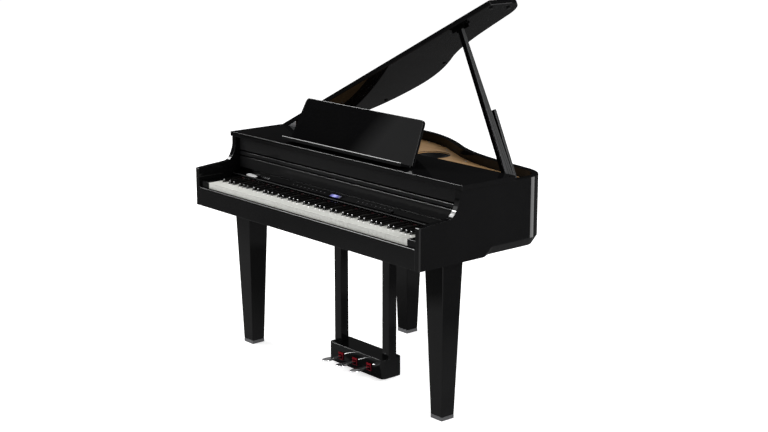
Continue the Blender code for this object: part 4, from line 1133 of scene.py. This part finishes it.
def make_stage():
    """A pale floor that shows white and keeps the shadow, soft lamps and the studio around."""
    data = bpy.data.meshes.new("floor")
    mesh = bmesh.new()
    bmesh.ops.create_grid(mesh, x_segments=1, y_segments=1, size=60.0)
    mesh.to_mesh(data)
    mesh.free()
    placed("floor", data)
    material = bpy.data.materials.new("studio_floor")
    tree = emptied(material)
    white, mirrored = seen_white(tree)
    pale = tree.node("ShaderNodeBsdfDiffuse", {}, {"Color": (0.8, 0.8, 0.8)})
    glow = tree.node("ShaderNodeEmission", {}, {"Color": (1.0, 1.0, 1.0), "Strength": white * 0.70})
    lit = tree.node("ShaderNodeAddShader", {}, {0: pale, 1: glow})
    seen = tree.node("ShaderNodeEmission", {}, {"Color": (1.0, 1.0, 1.0), "Strength": mirrored_floor(tree)})
    either = tree.node("ShaderNodeMixShader", {}, {0: mirrored, 1: lit, 2: seen})
    tree.feed(tree.tree.nodes.new("ShaderNodeOutputMaterial").inputs[0], either)
    data.materials.append(material)

    world = bpy.data.worlds.new("studio")
    bpy.context.scene.world = world
    tree = emptied(world)
    white, mirrored = seen_white(tree)
    strength = white + (1.0 - white) * (mirrored * mirrored_studio(tree) + (1.0 - mirrored) * AMBIENT)
    background = tree.node("ShaderNodeBackground", {}, {"Color": (1.0, 1.0, 1.0), "Strength": strength})
    tree.feed(tree.tree.nodes.new("ShaderNodeOutputWorld").inputs[0], background)

    lamp("key", at(-4.20, -0.80, 4.50), at(0.0, 0.3, 0.8), (2.2, 1.0), 222.0)
    lamp("front", at(-3.20, -4.00, 3.60), at(0.0, 0.3, 0.6), (2.4, 2.4), 75.0)
    lamp("right", at(4.20, 1.05, 2.30), at(0.0, 0.5, 0.85), (2.0, 2.0), 150.0)


def seen_white(tree):
    """1 for what shows the white background, and 1 for what a polished surface mirrors."""
    path = tree.node("ShaderNodeLightPath", output="Is Camera Ray")
    node = path.socket.node
    glossy = Value(tree, node.outputs["Is Glossy Ray"])
    through = Value(tree, node.outputs["Is Transmission Ray"])
    mirrored = Value(tree, node.outputs["Is Singular Ray"]) * glossy
    return path + through + glossy * (1.0 - mirrored), mirrored


def lamp(name, place, target, size, power):
    """A soft rectangular lamp."""
    data = bpy.data.lights.new(name, "AREA")
    data.shape = "RECTANGLE"
    data.size, data.size_y = size
    data.energy = power
    made = placed(name, data)
    made.location = place
    made.rotation_euler = (Vector(target) - Vector(place)).to_track_quat("-Z", "Y").to_euler()
    made.visible_camera = False


def make_camera():
    data = bpy.data.cameras.new("camera")
    data.lens = CAMERA_LENS
    data.sensor_width = 36.0
    made = placed("camera", data)
    made.location = at(*CAMERA_PLACE)
    made.rotation_euler = (CAMERA_TILT, 0.0, CAMERA_TURN)
    bpy.context.scene.camera = made


# The line at which the keys meet the control panel, and the panel's sloping face
KEY_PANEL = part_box("control_panel")[0].y
KEY_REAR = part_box("key_C")[1].y
PANEL_FACE = (Vector((0.0, KEY_PANEL, 0.727)), Vector((0.0, at(0, 0.207, 0).y, 0.7435)))

make_camera()
make_sides()
make_rim()
make_boards()
make_lid()
make_hinge()
make_keys()
make_controls()
make_rest()
make_props()
make_inside()
make_legs()
make_lyre()
make_inlet()
make_stage()
bpy.context.scene.view_settings.view_transform = "Standard"
